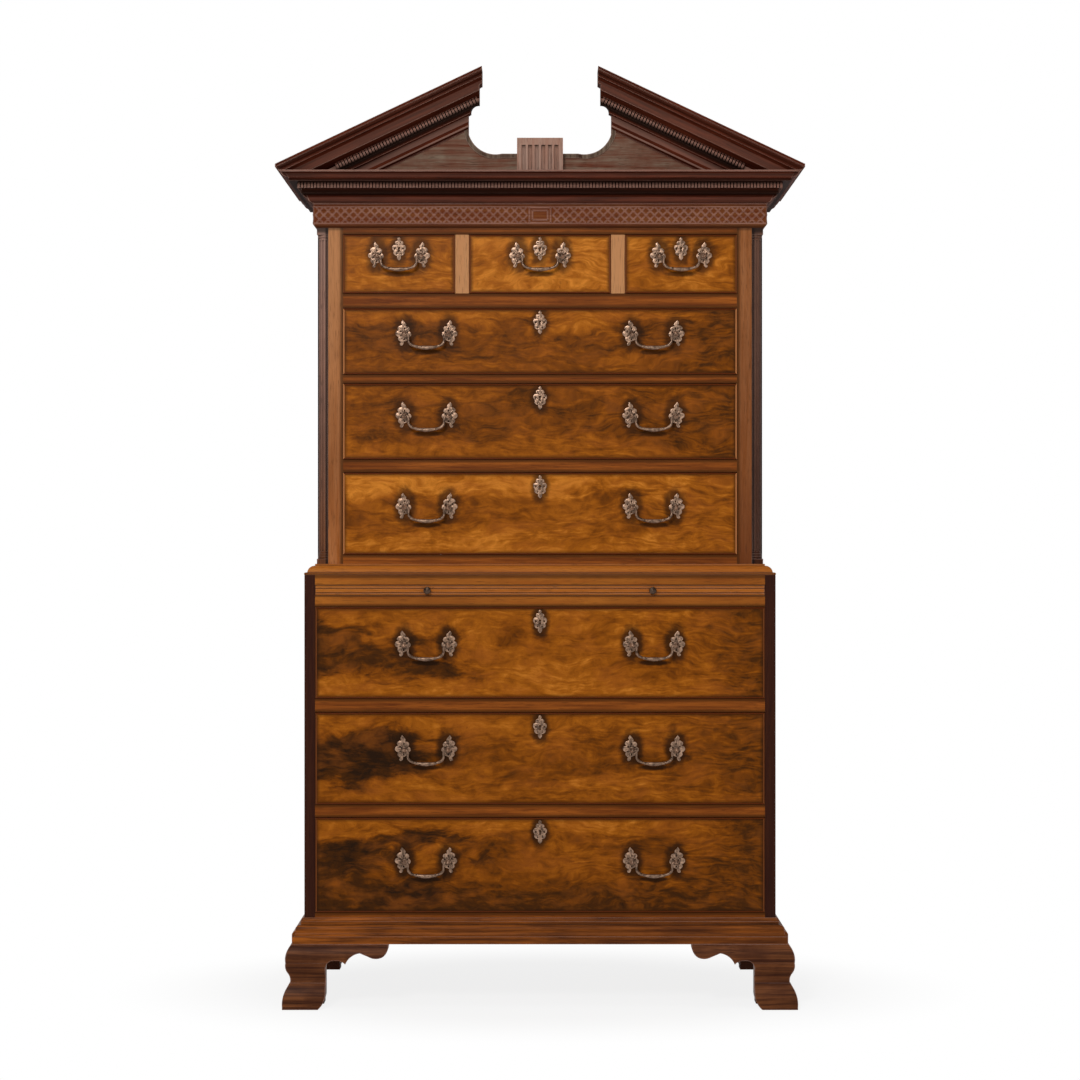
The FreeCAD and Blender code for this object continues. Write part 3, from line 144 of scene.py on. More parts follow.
class StageSettings(bpy.types.PropertyGroup):
    """Floor, lamps and camera."""
    floor: tint("Floor", "Pale floor", "#f4f3f1")
    speck: tint("Specks", "Fine mottling of the floor's paint", "#d8d6d2")
    key: FloatProperty(name="Key lamp", description="Power of the soft lamp at the front left",
                       subtype="POWER", default=125)
    fill: FloatProperty(name="Fill lamp", description="Power of the soft lamps at the front right and above",
                        subtype="POWER", default=26)
    sky: FloatProperty(name="Room light", description="Strength of the even light of the room",
                       subtype="FACTOR", default=0.2)


# ---------------------------------------------------------------- nodes and meshes

def add(tree, kind, *values, named=None, **settings):
    """A shader node with its settings and its inputs, in order or by name, each a value or what feeds it."""
    node = tree.nodes.new("ShaderNode" + kind)
    for setting, value in settings.items():
        setattr(node, setting, value)
    sockets = [socket for socket in node.inputs if socket.enabled]
    pairs = list(zip(sockets, values)) + [(node.inputs[name], value) for name, value in (named or {}).items()]
    for socket, value in pairs:
        if isinstance(value, bpy.types.Node):
            value = next(output for output in value.outputs if output.enabled)
        if isinstance(value, bpy.types.NodeSocket):
            tree.links.new(value, socket)
        elif value is not None:
            colour = socket.type == "RGBA" and len(value) == 3
            socket.default_value = (*value, 1) if colour else value
    return node


def new_material(name):
    """An empty node material and its tree."""
    material = bpy.data.materials.new(name)
    material.use_nodes = True
    material.node_tree.nodes.clear()
    return material, material.node_tree


def coat(material, *nodes):
    """Gives every material slot of some CAD nodes the same material."""
    for node in nodes:
        for part in frame["nodes"][node].material_slots:
            part.material = material


def make_piece(name, bm, body, material, slot, *nodes):
    """A mesh piece that rides a body, takes a material and stands for CAD nodes."""
    bmesh.ops.remove_doubles(bm, verts=bm.verts, dist=0.00001)
    bmesh.ops.recalc_face_normals(bm, faces=bm.faces)
    mesh = bpy.data.meshes.new(name)
    bm.to_mesh(mesh)
    bm.free()
    mesh.polygons.foreach_set("use_smooth", [True] * len(mesh.polygons))
    mesh.set_sharp_from_angle(angle=SHARP)
    mesh.materials.append(material)
    piece = bpy.data.objects.new(name, mesh)
    bpy.context.scene.collection.objects.link(piece)
    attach(piece, body)
    if nodes:
        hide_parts(*nodes)
    return piece


def placed(x, y, z, mirror=1):
    """Puts a part that is drawn about its own axis at a place, mirrored left to right with mirror -1."""
    return Matrix.Translation((x, y, z)) @ Matrix.Diagonal((mirror, 1, 1, 1))


def loft(bm, rings, place, closed=True):
    """Skins a row of rings of points; a ring of one point is a tip, and the end rings are capped."""
    rows = [[bm.verts.new(place @ Vector(point)) for point in ring] for ring in rings]
    for first, second in zip(rows, rows[1:]):
        count = max(len(first), len(second))
        for step in range(count if closed else count - 1):
            after = (step + 1) % count
            corners = [first[step % len(first)], first[after % len(first)],
                       second[after % len(second)], second[step % len(second)]]
            bm.faces.new(list(dict.fromkeys(corners)))
    for row in (rows[0], rows[-1]):
        if closed and len(row) > 2:
            bm.faces.new(row)


def turns(steps):
    """The angles of so many steps round a circle."""
    return [2 * math.pi * step / steps for step in range(steps)]


def lathe(bm, profile, place, steps=20):
    """Turns (forward, radius) pairs in millimetres about a front-to-back line."""
    rings = []
    for forward, radius in profile:
        ring = [(radius * MM * math.cos(turn), -forward * MM, radius * MM * math.sin(turn))
                for turn in turns(steps)]
        rings.append(ring if radius else [(0, -forward * MM, 0)])
    loft(bm, rings, place)


def smooth(points, steps):
    """A smooth line through rows of numbers, with steps between each two of them."""
    points = [points[0]] + list(points) + [points[-1]]
    line = []
    for rows in zip(points, points[1:], points[2:], points[3:]):
        for share in (step / steps for step in range(steps)):
            line.append(tuple(
                0.5 * (2 * b + (c - a) * share + (2 * a - 5 * b + 4 * c - d) * share ** 2
                       + (3 * b - a - 3 * c + d) * share ** 3)
                for a, b, c, d in zip(*rows)))
    return line + [tuple(points[-1])]


def cast_rib(bm, points, place, forward=0.0, depth=1.0, steps=12, smoothing=4):
    """A tapering round rib or rod through (x, z, radius) rows in millimetres, depth times as deep as wide."""
    line = smooth(points, smoothing)
    rings = []
    for index, (x, z, radius) in enumerate(line):
        before, after = line[max(index - 1, 0)], line[min(index + 1, len(line) - 1)]
        run = Vector((after[0] - before[0], 0, after[1] - before[1])).normalized()
        side = Vector((run.z, 0, -run.x)) * radius
        out = Vector((0, -depth * radius, 0))
        middle = Vector((x, -forward, z))
        rings.append([(middle + side * math.cos(turn) + out * math.sin(turn)) * MM for turn in turns(steps)])
    loft(bm, rings, place)


def block(bm, low, high, bevel, place=Matrix()):
    """A block with its corners eased by a bevel, all in millimetres."""
    sheets = []
    for y, ease in ((low[1], bevel), (low[1] + bevel, 0), (high[1] - bevel, 0), (high[1], bevel)):
        x0, x1, z0, z1 = low[0] + ease, high[0] - ease, low[2] + ease, high[2] - ease
        sheets.append([(x0 + bevel, y, z0), (x1 - bevel, y, z0), (x1, y, z0 + bevel), (x1, y, z1 - bevel),
                       (x1 - bevel, y, z1), (x0 + bevel, y, z1), (x0, y, z1 - bevel), (x0, y, z0 + bevel)])
    loft(bm, [[Vector(point) * MM for point in sheet] for sheet in sheets], place)


def cast_plate(bm, outline, holes, place):
    """A cast plate with rounded edges, pierced by holes; outline points are (x, z) or (x, z, "cusp")."""
    curve = bpy.data.curves.new("plate", "CURVE")
    curve.dimensions = "2D"
    curve.fill_mode = "BOTH"
    curve.resolution_u = 3
    curve.bevel_depth = PLATE_EDGE
    curve.bevel_resolution = 1
    curve.offset = -PLATE_EDGE
    curve.extrude = PLATE / 2 - PLATE_EDGE
    for points in [outline] + holes:
        spline = curve.splines.new("BEZIER")
        spline.use_cyclic_u = True
        spline.bezier_points.add(len(points) - 1)
        for knot, point in zip(spline.bezier_points, points):
            knot.co = (point[0] * MM, point[1] * MM, 0)
            knot.handle_left_type = knot.handle_right_type = "VECTOR" if len(point) > 2 else "AUTO"
    flat = bpy.data.objects.new("plate", curve)
    bpy.context.scene.collection.objects.link(flat)
    bpy.context.view_layer.update()
    mesh = bpy.data.meshes.new_from_object(flat.evaluated_get(bpy.context.evaluated_depsgraph_get()))
    bpy.data.objects.remove(flat)
    bpy.data.curves.remove(curve)
    mesh.transform(place @ Matrix.Translation((0, -PLATE / 2, 0)) @ Matrix.Rotation(math.radians(90), 4, "X"))
    bm.from_mesh(mesh)
    bpy.data.meshes.remove(mesh)


def oval(x, z, wide, tall):
    """A round or oval hole for a cast plate."""
    return [(x + wide, z), (x, z + tall), (x - wide, z), (x, z - tall)]


# ---------------------------------------------------------------- patterns

def turned_to(tree, axis):
    """1 where a surface lies within 45 degrees of square to an axis, and 0 elsewhere."""
    facing = add(tree, "SeparateXYZ", add(tree, "NewGeometry").outputs["True Normal"]).outputs[axis]
    return add(tree, "Math", add(tree, "Math", facing, operation="ABSOLUTE"), 0.7, operation="GREATER_THAN")


def off_from(tree, value, place):
    """How far a value lies from a place, to either side of it."""
    return add(tree, "Math", add(tree, "Math", value, place, operation="SUBTRACT"), operation="ABSOLUTE")


def within(tree, value, low, high):
    """1 where a value lies between two limits, and 0 elsewhere."""
    return add(tree, "Math", add(tree, "Math", value, low, operation="GREATER_THAN"),
               add(tree, "Math", value, high, operation="LESS_THAN"), operation="MULTIPLY")


def darkened(tree, colour, off, outer, inner, darkness, dirt_and_shade):
    """A colour darkened softly towards another, as dark as given up to the inner distance and unchanged from
    the outer one.
    """
    line = add(tree, "MapRange", off, outer, inner, 0.0, darkness, interpolation_type="SMOOTHSTEP")
    return add(tree, "Mix", line, colour, dirt_and_shade, data_type="RGBA")


def across_grain(tree, spot, upright, rise=None):
    """Where a point lies across the grain, which runs up, or along the front, the sides and the tops."""
    x, y, z = add(tree, "SeparateXYZ", spot).outputs
    if upright:
        return add(tree, "CombineXYZ", add(tree, "Math", x, y, operation="ADD"), 0.0,
                   add(tree, "Math", z, LONG_GRAIN, operation="MULTIPLY"))
    top = turned_to(tree, "Z")
    along = add(tree, "Math", x, add(tree, "Mix", top, y, 0.0, data_type="FLOAT"), operation="ADD")
    return add(tree, "CombineXYZ", add(tree, "Math", along, LONG_GRAIN, operation="MULTIPLY"),
               add(tree, "Math", y, top, operation="MULTIPLY"), rise or z)


def soiled_and_shaded(tree, colour, level, boards, reach, edge_wear_and_highlight, bands):
    """A wood's colour with painted shade in its corners, pale bands of a dusting and a painted highlight, and
    edges paled by wear and a painted highlight.
    """
    colours = bpy.context.scene.chest_woods
    corner = add(tree, "AmbientOcclusion", named={"Distance": reach * MM}, samples=8, only_local=True)
    corner = corner.outputs["AO"]
    # painted shade in corners and hollows, where the occlusion is deep
    darkening = add(tree, "MapRange", corner, 0.3, 0.85, 0.95, 0.0)
    # pale bands: a dusting, and a painted highlight on the dentils and the faces of the mouldings
    for low, high, paleness in bands:
        row = add(tree, "Math", within(tree, level, low * MM, high * MM),
                  add(tree, "MapRange", corner, 0.2, 0.42, 0.0, paleness), operation="MULTIPLY")
        colour = add(tree, "Mix", row, colour, colours.dust_and_highlight, data_type="RGBA")
        darkening = add(tree, "Math", darkening, row, operation="SUBTRACT", use_clamp=True)
    colour = add(tree, "Mix", darkening, colour, colours.dirt_and_shade, data_type="RGBA")
    # pale edges that stand out: wear, and a painted highlight along them
    if edge_wear_and_highlight:
        bevelled_normal = add(tree, "Bevel", named={"Radius": 3 * MM}, samples=4)
        turn = add(tree, "VectorMath", bevelled_normal, add(tree, "NewGeometry").outputs["Normal"],
                   operation="DOT_PRODUCT")
        pale = add(tree, "MapRange", turn.outputs["Value"], 0.995, 0.93, 0.0, edge_wear_and_highlight)
        for share in (add(tree, "MapRange", corner, 0.5, 0.9, 0.0, 1.0),
                      add(tree, "MapRange", boards, 0.3, 0.6, 0.35, 1.0)):
            pale = add(tree, "Math", pale, share, operation="MULTIPLY")
        colour = add(tree, "Mix", pale, colour, colours.dust_and_highlight, data_type="RGBA")
    return colour


def surface(tree, colour, roughness, relief, strength, depth, more):
    """Ends a material: colour, roughness, a fine relief with its depth in millimetres, and more inputs."""
    bump = add(tree, "Bump", named={"Strength": strength, "Distance": depth * MM, "Height": relief})
    shader = add(tree, "BsdfPrincipled", colour, named={"Roughness": roughness, "Normal": bump, **more})
    add(tree, "OutputMaterial", shader)


# ---------------------------------------------------------------- woods

def straight_grained(name, light, dark, run, reach, edge_wear_and_highlight=0.0, painted_shading=0.0, patch=455, sheen=POLISHED,
                     drawers=(), joint=None, bands=(), other=None, painted_shadows=()):
    """Straight-grained mahogany under old French polish: fine dark pores, quiet ribbon, painted shade in its
    corners.

    run: how the grain lies: "along" the front and the sides, "up", up the "rake" of the pediment, or as the
        joiner lays a "frame", which is up in the stiles and the dividers of the short drawers, along in rails
    reach: how far the painted shade reaches out of the corners, in millimetres
    edge_wear_and_highlight: how pale the edges are, from wear and as a painted highlight
    painted_shading: how dark painted shade makes it towards the foot and the right, and how pale a
    painted highlight makes its upper left
    patch: how far apart its blotches are, in millimetres
    sheen: how brightly it mirrors the lamps: POLISHED, or DUSTY for old varnish
    drawers: fronts along whose gaps a dark line of painted shade lies
    joint: how far from the middle a line of painted shade runs up the front, where stile and column meet
    bands: where a dusting and a painted highlight pale it, each with its lower and upper height in
    millimetres and how pale it is
    other: where it has two other colours, light and dark: above a height, or on its "flanks"
    painted_shadows: dark lines of painted shadow, each with its height, half its width in millimetres and how
    dark it is
    """
    colours = bpy.context.scene.chest_woods
    material, tree = new_material(name)
    spot = add(tree, "TexCoord").outputs["Object"]
    x, _, z = add(tree, "SeparateXYZ", spot).outputs
    sideways = add(tree, "Math", x, operation="ABSOLUTE")
    level = add(tree, "Math", sideways, PITCH, z, operation="MULTIPLY_ADD") if run == "rake" else z
    lines = across_grain(tree, spot, run == "up", level)
    if run == "frame":
        foot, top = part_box("short_drawer_middle_front")
        aside = add(tree, "Math", sideways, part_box("upper_drawer_1_front")[1].x, operation="SUBTRACT")
        stile = add(tree, "Math", aside, 0.0, operation="GREATER_THAN")
        between = within(tree, z, foot.z, top.z)
        lines = add(tree, "Mix", add(tree, "Math", stile, between, operation="MAXIMUM"), lines,
                    across_grain(tree, spot, True), data_type="VECTOR")

    # lines that sway every 330 mm, growth rings about 8 mm apart, and pores drawn 1.25 mm wide, coarser than
    # the real 0.2 mm, so that they show
    sway = add(tree, "TexNoise", spot, round(1000 / 330), 2.0, 0.5)
    bent = add(tree, "VectorMath", lines, add(tree, "VectorMath", sway.outputs["Color"], operation="SCALE",
                                             named={"Scale": 12 * MM}), operation="ADD")
    rings = add(tree, "TexNoise", bent, round(1000 / 7.7), 3.0, 0.6)
    pores = add(tree, "TexNoise", bent, round(1000 / 1.25), 2.0, 0.5)
    boards = add(tree, "TexNoise", spot, round(1000 / patch, 1), 4.0, 0.6)
    grain = add(tree, "MapRange", rings, 0.34, 0.68, 0.0, 0.85)
    blotch = add(tree, "MapRange", boards, 0.38, 0.64, 0.0, 0.5)
    colour = add(tree, "Mix", grain, light, dark, data_type="RGBA")
    if other:
        where, other_light, other_dark = other
        if where == "flanks":
            there = turned_to(tree, "X")
            dark = add(tree, "Mix", there, dark, other_dark, data_type="RGBA")
        else:
            there = add(tree, "Math", z, where, operation="GREATER_THAN")
        other_wood = add(tree, "Mix", grain, other_light, other_dark, data_type="RGBA")
        colour = add(tree, "Mix", there, colour, other_wood, data_type="RGBA")
    if run == "frame":
        pale = add(tree, "Mix", grain, colours.stile, light, data_type="RGBA")
        colour = add(tree, "Mix", stile, colour, pale, data_type="RGBA")
        pale = add(tree, "Mix", add(tree, "Math", grain, 0.35, operation="MULTIPLY"), colours.divider,
                   colours.stile, data_type="RGBA")
        divider = add(tree, "Math", between, stile, operation="SUBTRACT", use_clamp=True)
        colour = add(tree, "Mix", divider, colour, pale, data_type="RGBA")
        blotch = add(tree, "Math", blotch, add(tree, "Math", divider, 0.8, operation="MULTIPLY"),
                     operation="SUBTRACT", use_clamp=True)
    colour = add(tree, "Mix", blotch, colour, dark, data_type="RGBA")
    # painted shade darkens it towards the foot and the right, and a painted highlight pales its upper left
    if painted_shading:
        shade = add(tree, "Math", add(tree, "MapRange", x, -FRONT_HALF, FRONT_HALF, 0.0, painted_shading),
                    add(tree, "MapRange", z, *PAINTED_SHADE_HEIGHTS, 0.0, painted_shading * 0.6), operation="ADD")
        painted_highlight = add(tree, "Math", add(tree, "MapRange", z, *PAINTED_HIGHLIGHT_HEIGHTS, 0.0, painted_shading * 1.15),
                     add(tree, "MapRange", x, FRONT_HALF, -FRONT_HALF, 0.25, 1.0), operation="MULTIPLY")
        if run == "frame":
            shade, painted_highlight = (add(tree, "Math", part, stile, operation="MULTIPLY") for part in (shade, painted_highlight))
        colour = add(tree, "Mix", shade, colour, dark, data_type="RGBA")
        colour = add(tree, "Mix", painted_highlight, colour, colours.divider if run == "frame" else colours.dust_and_highlight,
                     data_type="RGBA")
    pore = add(tree, "MapRange", pores, 0.56, 0.7, 0.0, 0.5)
    colour = add(tree, "Mix", pore, colour, colours.dirt_and_shade, data_type="RGBA")

    # painted shade: a dark line along the gaps beside the drawer fronts
    if drawers:
        near = 1.0
        for drawer in drawers:
            low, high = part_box(drawer)
            off = add(tree, "Math", off_from(tree, z, (low.z + high.z) / 2), (high.z - low.z) / 2,
                      operation="SUBTRACT")
            near = add(tree, "Math", off, near, operation="MINIMUM")
        if run == "frame":
            near = add(tree, "Mix", stile, near, aside, data_type="FLOAT")
            near = add(tree, "Math", near, divider, operation="ADD")
        colour = darkened(tree, colour, near, 11 * MM, 3 * MM, 0.85, colours.umber)
    # painted shade: a dark line in the recess where the stile meets a column
    if joint:
        off = add(tree, "Math", sideways, joint, operation="SUBTRACT")
        colour = darkened(tree, colour, off, 10 * MM, 4 * MM, 0.9, colours.dirt_and_shade)
    colour = soiled_and_shaded(tree, colour, level, boards, reach, edge_wear_and_highlight, bands)
    # dark lines of painted shadow under mouldings and beneath the dentils
    for height, half, darkness in painted_shadows:
        colour = darkened(tree, colour, off_from(tree, level, height), half * MM, half * MM / 4, darkness,
                          colours.dirt_and_shade)
    smoothest = 0.42 if sheen == POLISHED else 0.62
    dull = add(tree, "MapRange", boards, 0.3, 0.7, smoothest, smoothest + 0.14)
    surface(tree, colour, dull, pores, 0.35, 0.3, {"Specular IOR Level": sheen})
    return material


# each drawer's leaf of veneer: where it was cut, how light its top, middle, foot, left and right ends have
# turned, from 0 for soot to 1 for honey, and how wild its figure is
LEAVES = {
    "short_drawer_left": (3.1, 0.75, 0.70, 0.73, 0.68, 0.66, 0.5),
    "short_drawer_middle": (5.7, 0.88, 0.82, 0.84, 0.78, 0.78, 0.6),
    "short_drawer_right": (9.4, 0.74, 0.68, 0.72, 0.72, 0.64, 0.5),
    "upper_drawer_1": (12.3, 0.69, 0.42, 0.51, 0.40, 0.34, 0.3),
    "upper_drawer_2": (16.8, 0.53, 0.43, 0.62, 0.45, 0.36, 0.3),
    "upper_drawer_3": (21.5, 0.90, 0.60, 0.80, 0.54, 0.58, 0.3),
    "lower_drawer_1": (26.2, 0.68, 0.63, 0.74, 0.28, 0.38, 0.2),
    "lower_drawer_2": (31.9, 0.68, 0.50, 0.64, 0.14, 0.36, 0.2),
    "lower_drawer_3": (37.4, 0.72, 0.53, 0.24, 0.14, 0.30, 0.2),
}


def flame_mahogany(drawer):
    """Flame-figured mahogany veneer, French polished and waxed for 250 years.

    Soft ragged clouds run along the middle of each front, straight lighter bands lie above and below them,
    and a feather figure crosses the right-hand end. Halos of wax and painted shade darken it round the
    brasses;
    it is darker just inside its beads, and the beads are darkened as painted shade.
    """
    colours = bpy.context.scene.chest_woods
    seed, top_tone, tone, foot_tone, left_tone, right_tone, wild = LEAVES[drawer]
    low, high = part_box(drawer + "_front")
    centre, half = (low + high) / 2, (high - low) / 2
    material, tree = new_material("flame_mahogany_" + drawer)
    spot = add(tree, "TexCoord").outputs["Object"]
    own = add(tree, "VectorMath", spot, tuple(centre), operation="SUBTRACT")
    across, _, up = add(tree, "SeparateXYZ", own).outputs
    leaf = add(tree, "VectorMath", own, (seed, 0.0, seed * 0.37), operation="ADD")

    def figure(source, along, over, detail):
        """Figure that changes every so many millimetres along the front and over its height."""
        waves = add(tree, "VectorMath", source, (round(1000 / along), 1.0, round(1000 / over)),
                    operation="MULTIPLY")
        return add(tree, "TexNoise", waves, 1.0, detail, 0.62)

    # the wood's own flow: 125 to 250 mm swirls that bend all its lines
    shift = add(tree, "VectorMath", figure(leaf, 250, 125, 3.0).outputs["Color"], (0.5, 0.5, 0.5),
                operation="SUBTRACT")
    shift = add(tree, "VectorMath", shift, operation="SCALE", named={"Scale": 0.08 + 0.1 * wild})
    flow = add(tree, "VectorMath", leaf, shift, operation="ADD")
    clouds = figure(flow, 200, 77, 6.0)
    mottle = figure(flow, 33, 18.2, 4.0)
    # quiet lines 5 mm apart that follow the flow, and pores drawn 1.1 mm wide so that they show
    lines = figure(flow, 83, 5.25, 3.0)
    pores = figure(flow, 8.3, 1.111, 2.0)
    # the feather: slanting lines 7 mm apart, strongest at the right-hand end
    slant = add(tree, "Mapping", flow, named={"Rotation": (0, math.radians(35), 0),
                                              "Scale": (round(1000 / 45), 1, round(1000 / 6.65))},
                vector_type="POINT")
    feather = add(tree, "TexNoise", slant, 1.0, 2.0, 0.5)

    # how ripe the colour is: the left end, the bands above and below the ragged clouds, then the right end
    ragged = add(tree, "Math", clouds, 2.2, -1.1, operation="MULTIPLY_ADD")
    level = add(tree, "Math", up, half.z, operation="DIVIDE")
    along = add(tree, "Math", add(tree, "Math", across, half.x, operation="DIVIDE"), ragged, operation="ADD")
    ripe = tone
    for place, start, end, share, new_tone in (
            (along, -0.3, -0.75, 1.0, left_tone),
            (add(tree, "Math", level, ragged, operation="ADD"), 0.3, 0.75, 0.9, top_tone),
            (add(tree, "Math", ragged, level, operation="SUBTRACT"), 0.25, 0.7, 0.9, foot_tone),
            (along, 0.6, 1.0, 1.0, right_tone)):
        there = add(tree, "MapRange", place, start, end, 0.0, share, interpolation_type="SMOOTHSTEP")
        ripe = add(tree, "Mix", there, ripe, new_tone, data_type="FLOAT")
    for source, change in ((clouds, 0.13), (mottle, 0.17), (lines, 0.05)):
        ripe = add(tree, "Math", ripe, add(tree, "MapRange", source, 0.3, 0.7, -change, change),
                   operation="ADD")
    end = add(tree, "MapRange", along, 0.0, 0.7, 0.25 + wild * 0.8, 1.0, interpolation_type="SMOOTHSTEP")
    plume = add(tree, "MapRange", feather, 0.36, 0.64, 0.1, -0.1)
    plume = add(tree, "Math", plume, end, operation="MULTIPLY")
    ripe = add(tree, "Math", ripe, plume, operation="ADD")
    ramp = add(tree, "ValToRGB", ripe)
    stops = ramp.color_ramp.elements
    stops[0].color, stops[1].color = (*colours.soot, 1), (*colours.honey, 1)
    for place, wood in ((0.26, colours.umber), (0.5, colours.russet), (0.74, colours.amber)):
        stops.new(place).color = (*wood, 1)

    # patches of redder heartwood, 45 to 110 mm wide, and the pores
    red = add(tree, "MapRange", figure(flow, 110, 45, 4.0), 0.48, 0.66, 0.0, 0.4)
    colour = add(tree, "Mix", red, ramp.outputs["Color"], colours.rail, data_type="RGBA")
    pore = add(tree, "MapRange", pores, 0.58, 0.72, 0.0, 0.4)
    colour = add(tree, "Mix", pore, colour, colours.umber, data_type="RGBA")
    colour = wax_and_shade_halos(tree, colour, drawer, across, up, mottle)
    colour = cock_beads(tree, colour, drawer, across, up, mottle)
    dull = add(tree, "MapRange", clouds, 0.35, 0.65, 0.38, 0.5)
    surface(tree, colour, dull, pores, 0.25, 0.3, {"Specular IOR Level": 0.08})
    return material


def wax_and_shade_halos(tree, colour, drawer, across, up, mottle):
    """A front's colour with dark halos round a handle's two plates, under its grip and round the keyhole:
    wax, and painted shade of the brasses.
    """
    low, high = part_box(drawer + "_front")
    centre = (low + high) / 2
    handle = next(place for bail, place in BAILS.items() if bail.startswith(drawer + "_bail"))
    beside = off_from(tree, add(tree, "Math", across, operation="ABSOLUTE"), abs(handle.x - centre.x))
    # how dark the halos of wax and painted shade are
    halo_darkness = 0.84 if drawer.startswith("lower") else 0.72
    # each halo: what its place sideways is measured by, that place, its height, half its width and height
    for aside, x, z, wide, tall in (
            (beside, POST_HALF, handle.z + 3 * MM, 21 * MM, 34 * MM),
            (beside, 0.0, handle.z - GRIP_DROP, 28 * MM, 5 * MM),
            (across, 0.0, high.z - KEYHOLE_DROP, 17 * MM, 30 * MM)):
        over, rise = (
            add(tree, "Math", add(tree, "Math", value, place, operation="SUBTRACT"), size, operation="DIVIDE")
            for value, place, size in ((aside, x, wide), (up, z - centre.z, tall)))
        ring = add(tree, "VectorMath", add(tree, "CombineXYZ", over, 0.0, rise), operation="LENGTH")
        ring = add(tree, "Math", ring.outputs["Value"], add(tree, "Math", mottle, 0.8, operation="MULTIPLY"),
                   operation="ADD")
        colour = darkened(tree, colour, ring, 2.05, 1.3, halo_darkness, bpy.context.scene.chest_woods.soot)
    return colour


def cock_beads(tree, colour, drawer, across, up, mottle):
    """A front's colour, darker just inside its beads; the beads are plain mahogany darkened as painted shade,
    the upright ones paler than the rest.
    """
    colours = bpy.context.scene.chest_woods
    low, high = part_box(drawer + "_front")
    half = (high - low) / 2
    to_side, to_top = (
        add(tree, "Math", end, add(tree, "Math", place, operation="ABSOLUTE"), operation="SUBTRACT")
        for end, place in ((half.x, across), (half.z, up)))
    edge = add(tree, "Math", to_side, to_top, operation="MINIMUM")
    darkening = add(tree, "Math", add(tree, "MapRange", edge, COCK_BEAD + 8 * MM, COCK_BEAD, 0.0, 0.8),
                add(tree, "MapRange", mottle, 0.3, 0.6, 0.45, 1.0), operation="MULTIPLY")
    colour = add(tree, "Mix", darkening, colour, colours.soot, data_type="RGBA")
    # the beads: darkened as painted shade along the gaps, the upright ones of the upper drawers less
    bead = add(tree, "MapRange", edge, COCK_BEAD + 0.2 * MM, COCK_BEAD - 0.2 * MM, 0.0, 1.0)
    fair = add(tree, "Math", add(tree, "Math", to_top, to_side, operation="GREATER_THAN"),
               0.75 if drawer.startswith("upper") else 0.15, operation="MULTIPLY")
    bead_wood = add(tree, "Mix", fair, colours.rail_dark, colours.stile, data_type="RGBA")
    return add(tree, "Mix", bead, colour, bead_wood, data_type="RGBA")


def waist_painted_shadows():
    """The dark lines of painted shadow under the waist moulding and above and below the brushing slide."""
    low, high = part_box("brushing_slide")
    return ((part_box("waist_moulding")[0].z - 2 * MM, 9, 0.6), (high.z, 4, 0.45), (low.z, 5, 0.6))


def bare_wood(name, wood, rings_apart, upright, uneven=0.0):
    """Unpolished oak or pine, sawn and planed: open straight grain, dry and matt, with painted shade in its
    corners.

    rings_apart: how far apart its growth rings lie, in millimetres
    uneven: how much one board may be darker than another
    """
    colours = bpy.context.scene.chest_woods
    material, tree = new_material(name)
    spot = add(tree, "TexCoord").outputs["Object"]
    rings = add(tree, "TexNoise", across_grain(tree, spot, upright), 1000 / rings_apart, 3.0, 0.6)
    age = add(tree, "TexNoise", spot, round(1000 / 250), 4.0, 0.6)
    colour = add(tree, "Mix", add(tree, "MapRange", rings, 0.38, 0.66, 0.0, 0.6), wood,
                 colours.rail_dark, data_type="RGBA")
    colour = add(tree, "Mix", add(tree, "MapRange", age, 0.45, 0.7, 0.0, 0.5), colour, colours.dirt_and_shade,
                 data_type="RGBA")
    if uneven:
        board = add(tree, "NewGeometry").outputs["Random Per Island"]
        colour = add(tree, "Mix", add(tree, "Math", board, uneven, operation="MULTIPLY"), colour,
                     colours.rail_dark, data_type="RGBA")
    # painted shade in corners and in the grooves between the boards
    corner = add(tree, "AmbientOcclusion", named={"Distance": 12 * MM}, samples=8, only_local=True)
    colour = add(tree, "Mix", add(tree, "MapRange", corner.outputs["AO"], 0.45, 0.95, 0.9, 0.0), colour,
                 colours.dirt_and_shade, data_type="RGBA")
    dull = add(tree, "MapRange", age, 0.3, 0.7, 0.7, 0.88)
    surface(tree, colour, dull, rings, 0.4, 0.4, {"Specular IOR Level": 0.25})
    return material


def cast_brass(name, rubbing):
    """Cast and chased brass with a brown patina: dark in its hollows, a pinkish tan where it stands out.

    rubbing: how much of the patina hands have taken off the high places
    """
    brass = bpy.context.scene.chest_brass
    material, tree = new_material(name)
    spot = add(tree, "TexCoord").outputs["Object"]
    # stains 9 mm across and the 1 mm pits of the casting
    stain = add(tree, "TexNoise", spot, round(1000 / 9.1), 4.0, 0.65)
    pits = add(tree, "TexNoise", spot, round(1000 / 1.111), 2.0, 0.5)
    corner = add(tree, "AmbientOcclusion", named={"Distance": 7 * MM}, samples=8, only_local=True)
    rubbed = add(tree, "Math", add(tree, "MapRange", corner.outputs["AO"], 0.7, 1.0, 0.0, rubbing),
                 add(tree, "MapRange", stain, 0.35, 0.62, 0.2, 1.0), operation="MULTIPLY")
    colour = add(tree, "Mix", rubbed, brass.dark, brass.bright, data_type="RGBA")
    dull = add(tree, "MapRange", stain, 0.3, 0.7, 0.3, 0.48)
    surface(tree, colour, dull, pits, 0.3, 0.2, {"Metallic": 0.8})
    return material


# ---------------------------------------------------------------- wooden pieces

class CHEST_OT_drawer_fronts(bpy.types.Operator):
    """Veneers the nine drawer fronts with flame mahogany and lines the drawers with oak"""
    bl_idname = "chest.drawer_fronts"
    bl_label = "Drawers"

    def execute(self, context):
        oak = bare_wood("bare_oak", context.scene.chest_woods.oak, 5, False)
        for drawer in DRAWERS:
            coat(flame_mahogany(drawer), drawer + "_front")
            coat(oak, drawer + "_box")
        return {"FINISHED"}


